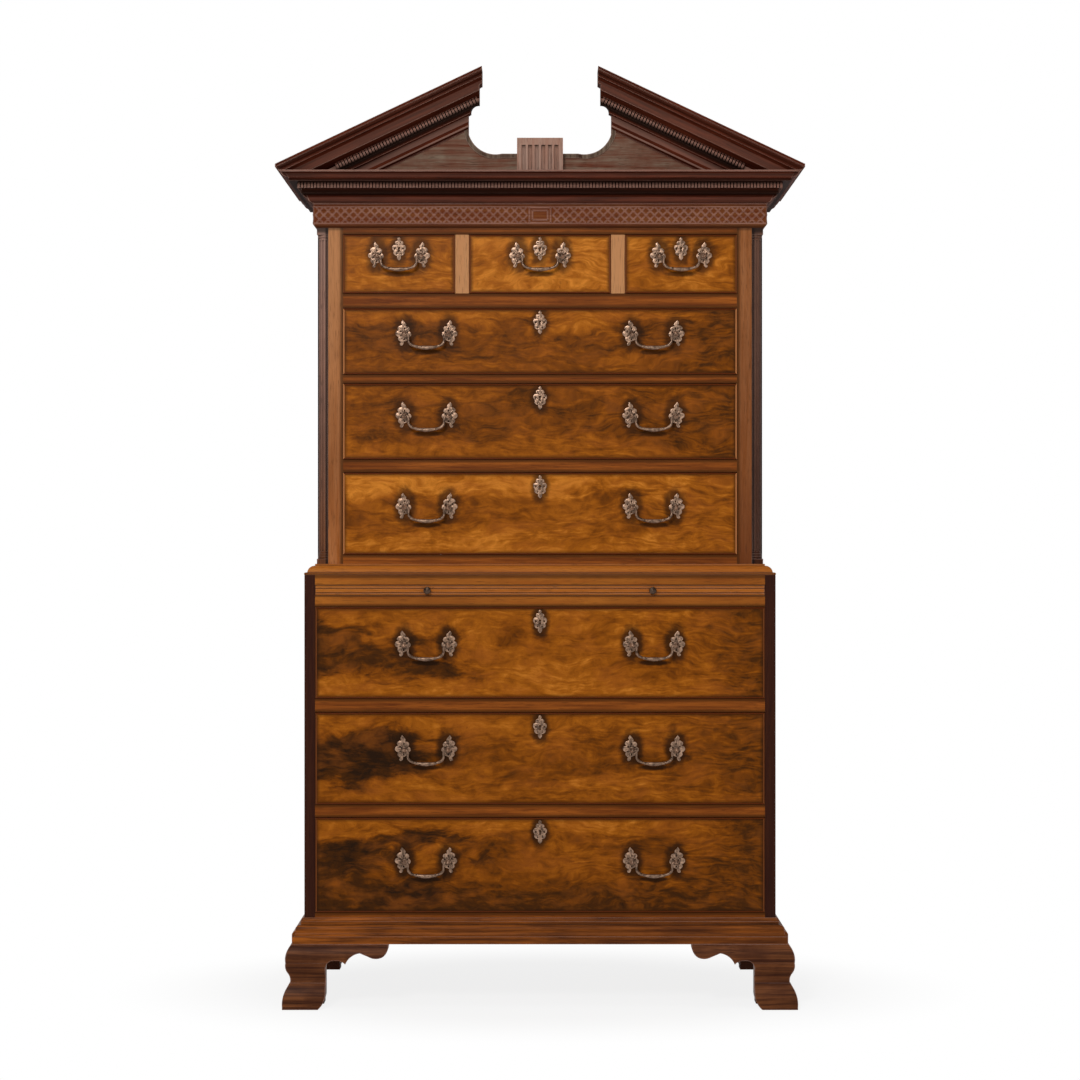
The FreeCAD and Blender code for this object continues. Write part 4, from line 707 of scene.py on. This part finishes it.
class CHEST_OT_case_work(bpy.types.Operator):
    """Polishes the case sides, rails, face frame, columns, base and feet"""
    bl_idname = "chest.case_work"
    bl_label = "Cases"

    def execute(self, context):
        woods = context.scene.chest_woods
        uppers = [drawer + "_front" for drawer in DRAWERS if not drawer.startswith("lower")]
        lowers = [drawer + "_front" for drawer in DRAWERS if drawer.startswith("lower")]
        frieze_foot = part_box("frieze")[0].z
        coat(straight_grained("polished_mahogany_rails", woods.rail, woods.rail_dark, "along", 6,
                              drawers=lowers, painted_shadows=waist_painted_shadows(),
                              other=(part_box("lower_drawer_1_front")[1].z, woods.waist, woods.rail)),
             "lower_rails")
        coat(straight_grained("polished_mahogany_waist", woods.waist, woods.rail, "along", 7, 0.5,
                              painted_shadows=waist_painted_shadows()), "waist_moulding")
        coat(straight_grained("polished_mahogany_face_frame", woods.rail, woods.rail_dark, "frame", 6,
                              painted_shading=0.5, drawers=uppers, painted_shadows=((frieze_foot, 9, 0.55),)), "upper_face_frame")
        coat(straight_grained("polished_mahogany_sides", woods.side, woods.cornice_dark, "up", 10,
                              other=("flanks", woods.flank, woods.rail_dark)), "lower_sides", "upper_sides")
        coat(straight_grained("polished_mahogany_columns", woods.column, woods.side, "up", 6, 0.5, 0.7,
                              joint=FRONT_HALF, painted_shadows=((frieze_foot - 3 * MM, 16, 0.85),)), "quarter_columns")
        coat(straight_grained("polished_mahogany_base", woods.rail, woods.side, "along", 12, 0.6),
             "base_moulding")
        coat(straight_grained("polished_mahogany_feet", woods.foot, woods.cornice_dark, "along", 14, 0.8,
                              patch=125), "bracket_feet")
        return {"FINISHED"}


class CHEST_OT_secondary_timber(bpy.types.Operator):
    """Leaves runners, glue blocks, tops and bottoms as bare oak and pine and sets the boards of the back"""
    bl_idname = "chest.secondary_timber"
    bl_label = "Runners and backs"

    def execute(self, context):
        woods = context.scene.chest_woods
        for node, name, wood, rings_apart in (
                ("drawer_runners", "bare_oak_runners", woods.oak, 5),
                ("foot_blocks", "sooty_oak_blocks", woods.side, 6),
                ("case_tops_and_bottoms", "bare_pine_boards", woods.pine, 9)):
            coat(bare_wood(name, wood, rings_apart, False), node)
        # the upright boards of the back meet in small grooves; sizes in millimetres
        gap, bevel = 0.2, 3.5
        low, high = (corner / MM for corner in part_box("back_boards"))
        corners = [corner.co / MM for corner in frame["nodes"]["back_boards"].data.vertices]
        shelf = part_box("lower_sides")[1].z / MM
        bm = bmesh.new()
        for foot, top, end in ((low.z, shelf, low.z), (shelf, high.z, high.z)):
            edges = sorted({round(corner.x, 2) for corner in corners if abs(corner.z - end) < 1})
            for left, right in zip(edges, edges[1:]):
                block(bm, (left + gap, low.y, foot), (right - gap, high.y, top), bevel)
        pine = bare_wood("bare_pine_back", woods.pine, 9, True, 0.4)
        make_piece("back_of_boards", bm, "chest", pine, "back", "back_boards")
        return {"FINISHED"}


class CHEST_OT_pediment(bpy.types.Operator):
    """Varnishes the cornice, the broken pediment and its plinth, and sets the beading round the opening"""
    bl_idname = "chest.pediment"
    bl_label = "Cornice and pediment"

    def execute(self, context):
        woods = context.scene.chest_woods
        # a dusting and painted highlights on the dentils and the upper faces of the mouldings, painted shadow
        # in the hollows between them
        coat(straight_grained(
            "dark_varnished_cornice", woods.cornice, woods.cornice_dark, "along", 22, 0.9, sheen=DUSTY,
            bands=[(1923, 1937, 0.32), (1956.5, 1960.5, 0.3), (1888.5, 1904, 0.08), (1946, 1954, 0.08)],
            painted_shadows=[(1.9138, 11, 0.9), (1.9385, 7, 0.75)]), "cornice")
        coat(straight_grained(
            "dark_varnished_rake", woods.cornice, woods.cornice_dark, "rake", 22, 0.6, sheen=DUSTY,
            bands=[(2187, 2202.6, 0.42), (2149.5, 2153.5, 0.6), (2161, 2174, 0.3), (2216, 2236, 0.12)],
            painted_shadows=[(2.1873, 12, 0.9), (2.2515, 6, 0.45)]), "raking_cornices")
        coat(straight_grained("dusty_varnished_tympanum", woods.tympanum, woods.cornice, "along", 16, 0.4,
                              patch=62.5, sheen=DUSTY), "tympanum")
        coat(straight_grained("fluted_plinth", woods.plinth, woods.frieze, "up", 9, 0.5, sheen=DUSTY),
             "plinth_block")
        self.opening_bead(straight_grained("opening_bead", woods.tympanum, woods.cornice_dark, "up", 5, 0.6,
                                           sheen=DUSTY))
        return {"FINISHED"}

    def opening_bead(self, material):
        """A flat bead 11 mm wide that follows the rounded opening in the tympanum; sizes in millimetres."""
        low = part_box("tympanum")[0]
        face, foot = low.y / MM, low.z / MM + 48
        # from the middle: the side of the opening, where its rounded corner ends and where the plinth begins
        half_open, corner_end, plinth_edge = 168.0, 90.0, 56.0
        # the corner is an arc that rises a fifth of its chord
        start, finish = Vector((half_open, foot + 46)), Vector((corner_end, foot))
        chord = finish - start
        sagitta = 0.2 * chord.length
        radius = (chord.length ** 2 / 4 + sagitta ** 2) / (2 * sagitta)
        inward = Vector((-chord.y, chord.x)).normalized()
        if inward.y < 0:
            inward = -inward
        middle = (start + finish) / 2 + inward * (radius - sagitta)
        first, last = (math.atan2(end.y - middle.y, end.x - middle.x) for end in (start, finish))
        arc = [middle + radius * Vector((math.cos(turn), math.sin(turn)))
               for turn in (first + (last - first) * step / 14 for step in range(15))]
        line = [Vector((half_open, foot + 84)), Vector((half_open, foot + 60)), *arc,
                Vector((plinth_edge, foot))]
        # across the bead: how far out of the opening's edge and how far proud of the board
        profile = ((0.4, -0.5), (0.4, 1.0), (1.2, 1.8), (10.2, 1.8), (11, 1.0), (11, -0.5))
        bm = bmesh.new()
        for mirror in (1, -1):
            rings = []
            for index, point in enumerate(line):
                run = (line[min(index + 1, len(line) - 1)] - line[max(index - 1, 0)]).normalized()
                out = Vector((-run.y, run.x))
                if out.dot(Vector((0.6, -0.8))) < 0:
                    out = -out
                rings.append([Vector((point.x + out.x * reach, face - rise, point.y + out.y * reach)) * MM
                              for reach, rise in profile])
            loft(bm, rings, placed(0, 0, 0, mirror))
        make_piece("tympanum_bead", bm, "chest", material, "carcase")


class CHEST_OT_fret(bpy.types.Operator):
    """Glues the blind fret of crossed bars to the frieze"""
    bl_idname = "chest.fret"
    bl_label = "Blind fret"

    def execute(self, context):
        woods, sizes = context.scene.chest_woods, context.scene.chest_fret
        low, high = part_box("frieze")
        # lines of painted shadow along the foot and the top of the frieze
        painted_shadows = ((low.z, 9, 0.55), (high.z, 8, 0.3))
        # the fret is paler than the frieze behind it: wear on its tops, and a painted highlight on its bars
        fret = straight_grained("worn_and_highlit_fret", woods.frieze, woods.cornice, "along", 4, 0.6, sheen=DUSTY,
                                painted_shadows=painted_shadows)
        coat(straight_grained("varnished_frieze", woods.foot, woods.cornice, "along", 5, 0.5, sheen=DUSTY,
                              painted_shadows=painted_shadows), "frieze")
        self.relief, self.bar, self.pitch = sizes.relief, sizes.width, sizes.spacing
        foot, top = low.z + 8 * MM, high.z - 5 * MM
        bm = bmesh.new()
        # the front, then the two sides: a place turns along, up and out of a wall into the chest's own axes
        half = (high.x - low.x) / 2
        place = Matrix(((1, 0, 0, 0), (0, 0, -1, low.y), (0, 1, 0, 0), (0, 0, 0, 1)))
        self.run_of_fret(bm, place, -half, half, foot, top, True)
        for side in (1, -1):
            place = Matrix(((0, 0, side, side * high.x), (1, 0, 0, 0), (0, 1, 0, 0), (0, 0, 0, 1)))
            self.run_of_fret(bm, place, low.y, high.y, foot, top, False)
        make_piece("frieze_fret", bm, "chest", fret, "carcase")
        return {"FINISHED"}

    def strip(self, bm, place, start, end, width, relief):
        """One bar: flat-topped, with sloping sides, between two points of the wall it is glued to."""
        run = (end - start).normalized()
        normal = Vector((-run.y, run.x))
        sunk, eased = 0.3 * MM, 0.4 * MM
        rings = []
        for half, rise in ((width / 2, -sunk), (width / 2, relief - sunk), (width / 2 - eased, relief)):
            corners = (start + normal * half, start - normal * half, end - normal * half, end + normal * half)
            rings.append([(*corner, rise) for corner in corners])
        loft(bm, rings, place)

    def run_of_fret(self, bm, place, start, end, foot, top, front):
        """Borders and crossed bars from start to end; the front also has a panel in the middle."""
        border, panel = 3 * MM, 28 * MM if front else 0.0
        for z in (foot + border / 2, top - border / 2):
            self.strip(bm, place, Vector((start + MM, z)), Vector((end - MM, z)), border, self.relief)
        if front:
            for inset in (3 * MM, 10 * MM):
                x, z0, z1 = panel - inset, foot + inset, top - inset
                for first, second in (((-x, z0), (x, z0)), ((-x, z1), (x, z1)), ((-x, z0), (-x, z1)),
                                      ((x, z0), (x, z1))):
                    self.strip(bm, place, Vector(first), Vector(second), self.bar, self.relief * 0.9)
        # each crossed bar is laid in four lengths, so that it can stop at the panel and at the ends
        inner, lengths = top - foot - 2 * border, 4
        count = int((end - start) / self.pitch)
        for index in range(count + 1):
            middle = (start + end) / 2 + (index - count / 2) * self.pitch
            for lean, relief in ((1, self.relief), (-1, self.relief * 0.75)):
                for piece in range(lengths):
                    first, second = (
                        Vector((middle + lean * (share - 0.5) * inner, foot + border + share * inner))
                        for share in (piece / lengths, (piece + 1) / lengths))
                    left, right = sorted((first.x, second.x))
                    if abs(left + right) / 2 < panel or left < start + 2 * MM or right > end - 2 * MM:
                        continue
                    self.strip(bm, place, first, second, self.bar, relief)


# ---------------------------------------------------------------- brasses

# The castings in millimetres, as they are chased. A plate's outline goes round the middle of its post or its
# keyhole, with x towards the outer side and "cusp" at a sharp corner; a rib is rows of x, z and radius.
LEAFY_PLATE = [
    (4.5, 34, "cusp"), (8.5, 28), (6.5, 22, "cusp"), (12, 20.5), (17, 15), (13.5, 9.5, "cusp"), (20, 6.5),
    (21, -1), (14.5, -6, "cusp"), (15.5, -12), (11, -17), (9, -19, "cusp"), (11.5, -23), (7.5, -26.5),
    (3, -22.5), (2.5, -17, "cusp"), (-3.5, -15), (-9, -11.5), (-8.5, -6.5, "cusp"), (-14, -4), (-15, 3),
    (-9.5, 8, "cusp"), (-12, 13), (-8.5, 18), (-2.5, 19, "cusp"), (-3.5, 24), (0.5, 29),
]
LEAFY_RIBS = [
    [(2, 5, 1.6), (3.5, 16, 1.5), (3, 24, 1.7), (4.5, 32, 0.7)],
    [(3, 4, 1.6), (8, 11, 1.6), (14.5, 15.5, 0.8)],
    [(4, 1, 1.8), (12, 2.5, 1.9), (19, 2.5, 0.8)],
    [(3, -4, 1.6), (8, -9, 1.7), (13, -12.5, 0.8)],
    [(2, -5, 1.6), (5, -14, 1.5), (7, -20, 1.6), (8, -25, 0.7)],
    [(-3, -4, 1.5), (-6, -10, 1.2), (-6, -12.5, 0.7)],
    [(-4, 0, 1.7), (-9, -0.5, 1.7), (-13.5, -0.5, 0.8)],
    [(-3, 4, 1.5), (-7, 11, 1.5), (-8.5, 16, 0.7)],
]
# pierced holes: x and z of their middle, half their width and half their height
LEAFY_HOLES = [oval(9.5, 6.8, 1.5, 1.9), oval(9.2, -3.6, 1.7, 1.5), oval(-7, 5.4, 1.4, 1.6),
               oval(0.4, 13.5, 1.2, 2.6), oval(0.8, -11.5, 1.3, 2.2)]
KEY_PLATE = [
    (0, 29, "cusp"), (3.8, 24.5), (2.6, 20.5, "cusp"), (8, 19), (10, 14), (7.5, 10.8, "cusp"), (14, 9),
    (16.2, 2), (12.4, -4.2, "cusp"), (13, -10), (9, -14.5), (4.4, -15.5, "cusp"), (4.8, -20.5),
    (0, -26.5, "cusp"),
]
KEY_RIBS = [
    [(0, 10, 1.6), (0.2, 18, 1.4), (0, 24, 1.8), (0, 28, 0.7)],
    [(3, 9, 1.4), (6, 14, 1.5), (7.5, 17.5, 0.7)],
    [(5.6, 5, 1.5), (10.5, 5.5, 1.6), (14.5, 3.5, 0.8)],
    [(5, -3, 1.5), (9, -8, 1.6), (10.5, -12, 0.8)],
    [(0, -11, 1.5), (0.2, -17, 1.6), (0, -24, 0.8)],
]
KEY_RING = [(0, 9.5, 1.2), (4.6, 7.5, 1.2), (5.8, 3, 1.2), (3.8, -4, 1.2), (3, -9, 1.2), (0, -10.5, 1.2)]
KEY_HOLES = [(9.8, 1.3, 1.6, 2.4), (5.6, -11, 1.5, 1.7), (4.6, 15, 1.1, 1.6)]
KEYHOLE = [(2.6, 3), (1.9, 5), (0, 5.9), (-1.9, 5), (-2.6, 3), (-1.3, 0.4, "cusp"), (-1.7, -6, "cusp"),
           (1.7, -6, "cusp"), (1.3, 0.4, "cusp")]

# turned parts, each row how far forward and how thick in radius
POST_STEM = [(-29, 0), (-29, 2), (-28.5, 2.5), (1, 2.5), (1, 7.5), (3.4, 7.6), (4.2, 6.9), (4.6, 5.4), (6, 4),
             (8, 3.6), (9, 4.8), (10.2, 4.8), (11.2, 3.6)]
BALL_FORWARD = 18
POST_TIP = [(24.4, 1.9), (25.6, 1.4), (26, 0)]
NUT = [(-24, 0), (-24, 6), (-23.5, 7), (-20.6, 7), (-20, 6.5), (-20, 0)]
LOCK_SCREW = [(-29, 3), (-29.5, 2.8), (-30, 1.6), (-30.1, 0)]
SLIDE_KNOB = [(0, 0), (0, 7.6), (0.9, 8), (1.6, 6.2), (2.6, 4.4), (5, 3.8), (7, 4.6), (8.6, 7.4), (10.2, 8.8),
              (11.8, 8.4), (13.4, 6.4), (14, 3.2), (14.6, 2.6), (15, 0)]
SLIDE_KNOB_X = 265


class CHEST_OT_back_plates(bpy.types.Operator):
    """Casts the leafy plates, posts and nuts of the handles, the keyhole plates and the locks"""
    bl_idname = "chest.back_plates"
    bl_label = "Plates, posts and locks"

    def execute(self, context):
        material = cast_brass("patinated_brass_plates", 1.0)
        ball = context.scene.chest_brass.ball / MM
        for drawer in DRAWERS:
            low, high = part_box(drawer + "_front")
            face = low.y + BEAD_PROUD
            bm = bmesh.new()
            for bail, pivot in BAILS.items():
                if bail.startswith(drawer + "_bail"):
                    for side in (1, -1):
                        self.post(bm, placed(pivot.x + side * POST_HALF, face, pivot.z, side), ball)
            middle = (low.x + high.x) / 2
            self.key_plate(bm, placed(middle, face, high.z - KEYHOLE_DROP))
            make_piece(drawer + "_brass_plates", bm, drawer, material, "brass", drawer + "_brasses")
        return {"FINISHED"}

    def post(self, bm, place, ball):
        """A leafy plate, a turned post with a ball for the bail's pin, and the nut behind the front."""
        cast_plate(bm, LEAFY_PLATE, LEAFY_HOLES, place)
        for rib in LEAFY_RIBS:
            cast_rib(bm, rib, place, forward=2.2, depth=0.8, steps=8, smoothing=3)
        rounds = [(BALL_FORWARD + ball * math.sin(turn), ball * math.cos(turn))
                  for turn in (math.radians(angle) for angle in (-50, -30, -10, 10, 30, 50, 65))]
        lathe(bm, POST_STEM + rounds + POST_TIP, place)
        lathe(bm, NUT, place, 8)

    def key_plate(self, bm, place):
        """A pierced keyhole plate with a raised ring, and the lock behind it with its bolt drawn back."""
        other_half = [(-point[0], *point[1:]) for point in reversed(KEY_PLATE[1:-1])]
        holes = [oval(side * x, *rest) for side in (1, -1) for x, *rest in KEY_HOLES]
        cast_plate(bm, KEY_PLATE + other_half, [KEYHOLE] + holes, place)
        for mirror in (1, -1):
            turned = place @ placed(0, 0, 0, mirror)
            for rib in KEY_RIBS:
                if mirror == 1 or rib[0][0] > 0:
                    cast_rib(bm, rib, turned, forward=2.2, depth=0.7, steps=8, smoothing=3)
            cast_rib(bm, KEY_RING, turned, forward=2.3, depth=0.8, steps=8)
        # the lock's case, its bolt and the heads of its four screws
        block(bm, (-28, 20, -21), (28, 29, 21), 0.8, place)
        block(bm, (-8, 20, 20.5), (8, 24.5, 25), 0.4, place)
        for x in (-22, 22):
            for z in (-15, 15):
                lathe(bm, LOCK_SCREW, place @ placed(x * MM, 0, z * MM), 12)


# half of a bail, from its pin to the middle of its grip, as rows of x, z and radius in millimetres
SWAN_NECK = [
    (53.5, 0, 1.9), (50, 0, 1.9), (46.6, 0, 1.95), (44.4, -0.7, 2.4), (42.4, -3.2, 2.9), (41.5, -7, 2.7),
    (41.8, -11.5, 2.6), (41.8, -16, 2.8), (40, -21, 3.3), (35.5, -25.6, 3.5), (30, -28.3, 3.1),
    (25.4, -29.7, 3.0), (22.8, -30.4, 4.1), (20.8, -30.8, 3.4), (13, -32, 4.1), (6, -32.6, 4.7),
    (0, -32.8, 4.9),
]


class CHEST_OT_bails(bpy.types.Operator):
    """Forges the fifteen swan-neck bails"""
    bl_idname = "chest.bails"
    bl_label = "Bails"

    def execute(self, context):
        brass = context.scene.chest_brass
        material = cast_brass("patinated_brass_bails", 0.6)
        # the setting thickens the grip most and the pins hardly at all
        swell = brass.grip / MM / SWAN_NECK[-1][2] - 1
        half = [(x, z, radius * (1 + swell * (1 - x / 54))) for x, z, radius in SWAN_NECK]
        line = half + [(-x, z, radius) for x, z, radius in reversed(half[:-1])]
        for bail, pivot in BAILS.items():
            bm = bmesh.new()
            cast_rib(bm, line, placed(*pivot), steps=14, smoothing=3)
            make_piece(bail + "_swan_neck", bm, bail, material, "brass", bail)
        return {"FINISHED"}


class CHEST_OT_brushing_slide(bpy.types.Operator):
    """Makes the brushing slide: a board with moulded front edge and two small turned knobs"""
    bl_idname = "chest.brushing_slide"
    bl_label = "Brushing slide"

    def execute(self, context):
        woods = context.scene.chest_woods
        low, high = (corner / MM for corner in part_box("brushing_slide"))
        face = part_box("lower_rails")[0].y / MM
        wood = straight_grained("polished_mahogany_slide", woods.waist, woods.rail, "along", 6, 0.5,
                                painted_shadows=waist_painted_shadows())
        # the front edge is worked with a flat bead between two small quirks, the same below and above it
        middle, quirk, bead = (low.z + high.z) / 2, face + 2, face + 0.6
        lower = [(high.y, low.z - middle), (face + 1, low.z - middle), (face, low.z + 1 - middle),
                 (face, -6.5), (quirk, -6), (quirk, -5), (bead, -4)]
        edge = [(y, middle + z) for y, z in lower] + [(y, middle - z) for y, z in reversed(lower)]
        bm = bmesh.new()
        loft(bm, [[Vector((x, y, z)) * MM for y, z in edge] for x in (low.x, high.x)], Matrix())
        make_piece("slide_board", bm, "brushing_slide", wood, "carcase", "brushing_slide")
        bm = bmesh.new()
        for x in (-SLIDE_KNOB_X, SLIDE_KNOB_X):
            lathe(bm, SLIDE_KNOB, placed(x * MM, quirk * MM, middle * MM), 24)
        make_piece("slide_knobs", bm, "brushing_slide", cast_brass("patinated_brass_knobs", 0.2), "brass")
        return {"FINISHED"}


# ---------------------------------------------------------------- stage

WHITE = (1.0, 1.0, 1.0)
# a long lens, in millimetres, level with the middle of the chest
LENS, SENSOR = 85.05, 36
CAMERA_AWAY, CAMERA_HIGH = 6.241, 1.0965


class CHEST_OT_stage(bpy.types.Operator):
    """Sets the pale floor, the soft lamps, the room light and the camera"""
    bl_idname = "chest.stage"
    bl_label = "Stage"

    def execute(self, context):
        stage = context.scene.chest_stage
        self.floor(stage)
        self.room(context, stage)
        for name, place, aim, wide, power in (
                ("key_lamp", (-1.2, -4.8, 3.5), (0, 0, 1.1), 1.3, stage.key),
                ("fill_lamp", (3.0, -4.2, 1.6), (0, 0, 0.9), 2.6, stage.fill),
                ("top_lamp", (0.0, -1.4, 4.6), (0, 0, 1.2), 2.0, stage.fill)):
            lamp = bpy.data.lights.new(name, "AREA")
            lamp.shape, lamp.size, lamp.energy = "DISK", wide, power
            holder = bpy.data.objects.new(name, lamp)
            holder.location = place
            holder.rotation_euler = (Vector(aim) - Vector(place)).to_track_quat("-Z", "Y").to_euler()
            context.scene.collection.objects.link(holder)
        camera = bpy.data.cameras.new("camera")
        camera.lens, camera.sensor_width, camera.clip_end = LENS, SENSOR, 60
        holder = bpy.data.objects.new("camera", camera)
        holder.location = (0, -CAMERA_AWAY, CAMERA_HIGH)
        holder.rotation_euler = (math.radians(90), 0, 0)
        context.scene.collection.objects.link(holder)
        context.scene.camera = holder
        context.scene.view_settings.view_transform = "Standard"
        return {"FINISHED"}

    def floor(self, stage):
        """A wide pale floor: it holds the shadow near the feet and fades to the white room further off."""
        bm = bmesh.new()
        # just under the feet
        steps, level = 64, -0.5 * MM
        rings = [[(reach * math.cos(turn), reach * math.sin(turn), level) for turn in turns(steps)]
                 for reach in (40, 9, 3, 1)]
        loft(bm, rings + [[(0, 0, level)]], Matrix())
        cap = [face for face in bm.faces if len(face.verts) == steps]
        bmesh.ops.delete(bm, geom=cap, context="FACES_ONLY")
        mesh = bpy.data.meshes.new("floor")
        bm.to_mesh(mesh)
        bm.free()
        material, tree = new_material("pale_floor")
        spot = add(tree, "TexCoord").outputs["Object"]
        # it fades to white between half a metre and a metre off, for the camera and for mirrors only
        far = add(tree, "VectorMath", add(tree, "VectorMath", spot, (1.0, 1.5, 0.0), operation="MULTIPLY"),
                  operation="LENGTH")
        far = add(tree, "MapRange", far.outputs["Value"], 0.5, 1.1, 0.84, 1.0,
                  interpolation_type="SMOOTHSTEP")
        path = add(tree, "LightPath")
        seen = path.outputs["Is Camera Ray"]
        for ray in ("Is Glossy Ray", "Is Transmission Ray"):
            seen = add(tree, "Math", seen, path.outputs[ray], operation="MAXIMUM")
        share = add(tree, "Math", far, seen, operation="MULTIPLY")
        # fine mottling of a painted studio floor, 3 mm across
        speck = add(tree, "TexNoise", spot, round(1000 / 3.03), 2.0, 0.5)
        paint = add(tree, "Mix", add(tree, "MapRange", speck, 0.3, 0.7, 0.0, 0.08), stage.floor, stage.speck,
                    data_type="RGBA")
        matt = add(tree, "BsdfPrincipled", paint, named={"Roughness": 0.9, "Specular IOR Level": 0.1})
        glow = add(tree, "Emission", WHITE, 1.0)
        add(tree, "OutputMaterial", add(tree, "MixShader", share, matt, glow))
        mesh.materials.append(material)
        floor = bpy.data.objects.new("floor", mesh)
        bpy.context.scene.collection.objects.link(floor)

    def room(self, context, stage):
        """An even dim room, white behind the chest for the camera and for what polish and brass mirror."""
        world = bpy.data.worlds.new("room")
        context.scene.world = world
        world.use_nodes = True
        tree = world.node_tree
        tree.nodes.clear()
        path = add(tree, "LightPath")
        depth = add(tree, "SeparateXYZ", add(tree, "TexCoord").outputs["Generated"]).outputs["Y"]
        mirrored = add(tree, "MapRange", depth, 0.0, 0.8, stage.sky * 0.5, 1.0)
        shiny = add(tree, "Math", path.outputs["Is Glossy Ray"], path.outputs["Is Transmission Ray"],
                    operation="MAXIMUM")
        strength = add(tree, "Mix", shiny, stage.sky, mirrored, data_type="FLOAT")
        strength = add(tree, "Mix", path.outputs["Is Camera Ray"], strength, 1.0, data_type="FLOAT")
        add(tree, "OutputWorld", add(tree, "Background", WHITE, strength))


# ---------------------------------------------------------------- panel

GROUPS = {"chest_woods": WoodColours, "chest_brass": BrassSettings, "chest_fret": FretSettings,
          "chest_stage": StageSettings}
STEPS = ("drawer_fronts", "case_work", "secondary_timber", "pediment", "fret", "back_plates", "bails",
         "brushing_slide", "stage")


class CHEST_PT_panel(bpy.types.Panel):
    """Lists the steps and settings of the chest"""
    bl_idname = "CHEST_PT_panel"
    bl_label = "Chest on chest"
    bl_space_type = "VIEW_3D"
    bl_region_type = "UI"
    bl_category = "Chest"

    def draw(self, context):
        for step in STEPS:
            self.layout.operator("chest." + step)
        for name in GROUPS:
            box = self.layout.box()
            group = getattr(context.scene, name)
            for setting in group.__annotations__:
                box.prop(group, setting)


CLASSES = (
    *GROUPS.values(), CHEST_OT_drawer_fronts, CHEST_OT_case_work, CHEST_OT_secondary_timber,
    CHEST_OT_pediment, CHEST_OT_fret, CHEST_OT_back_plates, CHEST_OT_bails, CHEST_OT_brushing_slide,
    CHEST_OT_stage, CHEST_PT_panel)


def register():
    for item in CLASSES:
        bpy.utils.register_class(item)
    for name, group in GROUPS.items():
        setattr(bpy.types.Scene, name, PointerProperty(type=group))


def unregister():
    for name in GROUPS:
        delattr(bpy.types.Scene, name)
    for item in reversed(CLASSES):
        bpy.utils.unregister_class(item)


def main():
    register()
    for step in STEPS:
        getattr(bpy.ops.chest, step)()


if __name__ == "__main__":
    main()
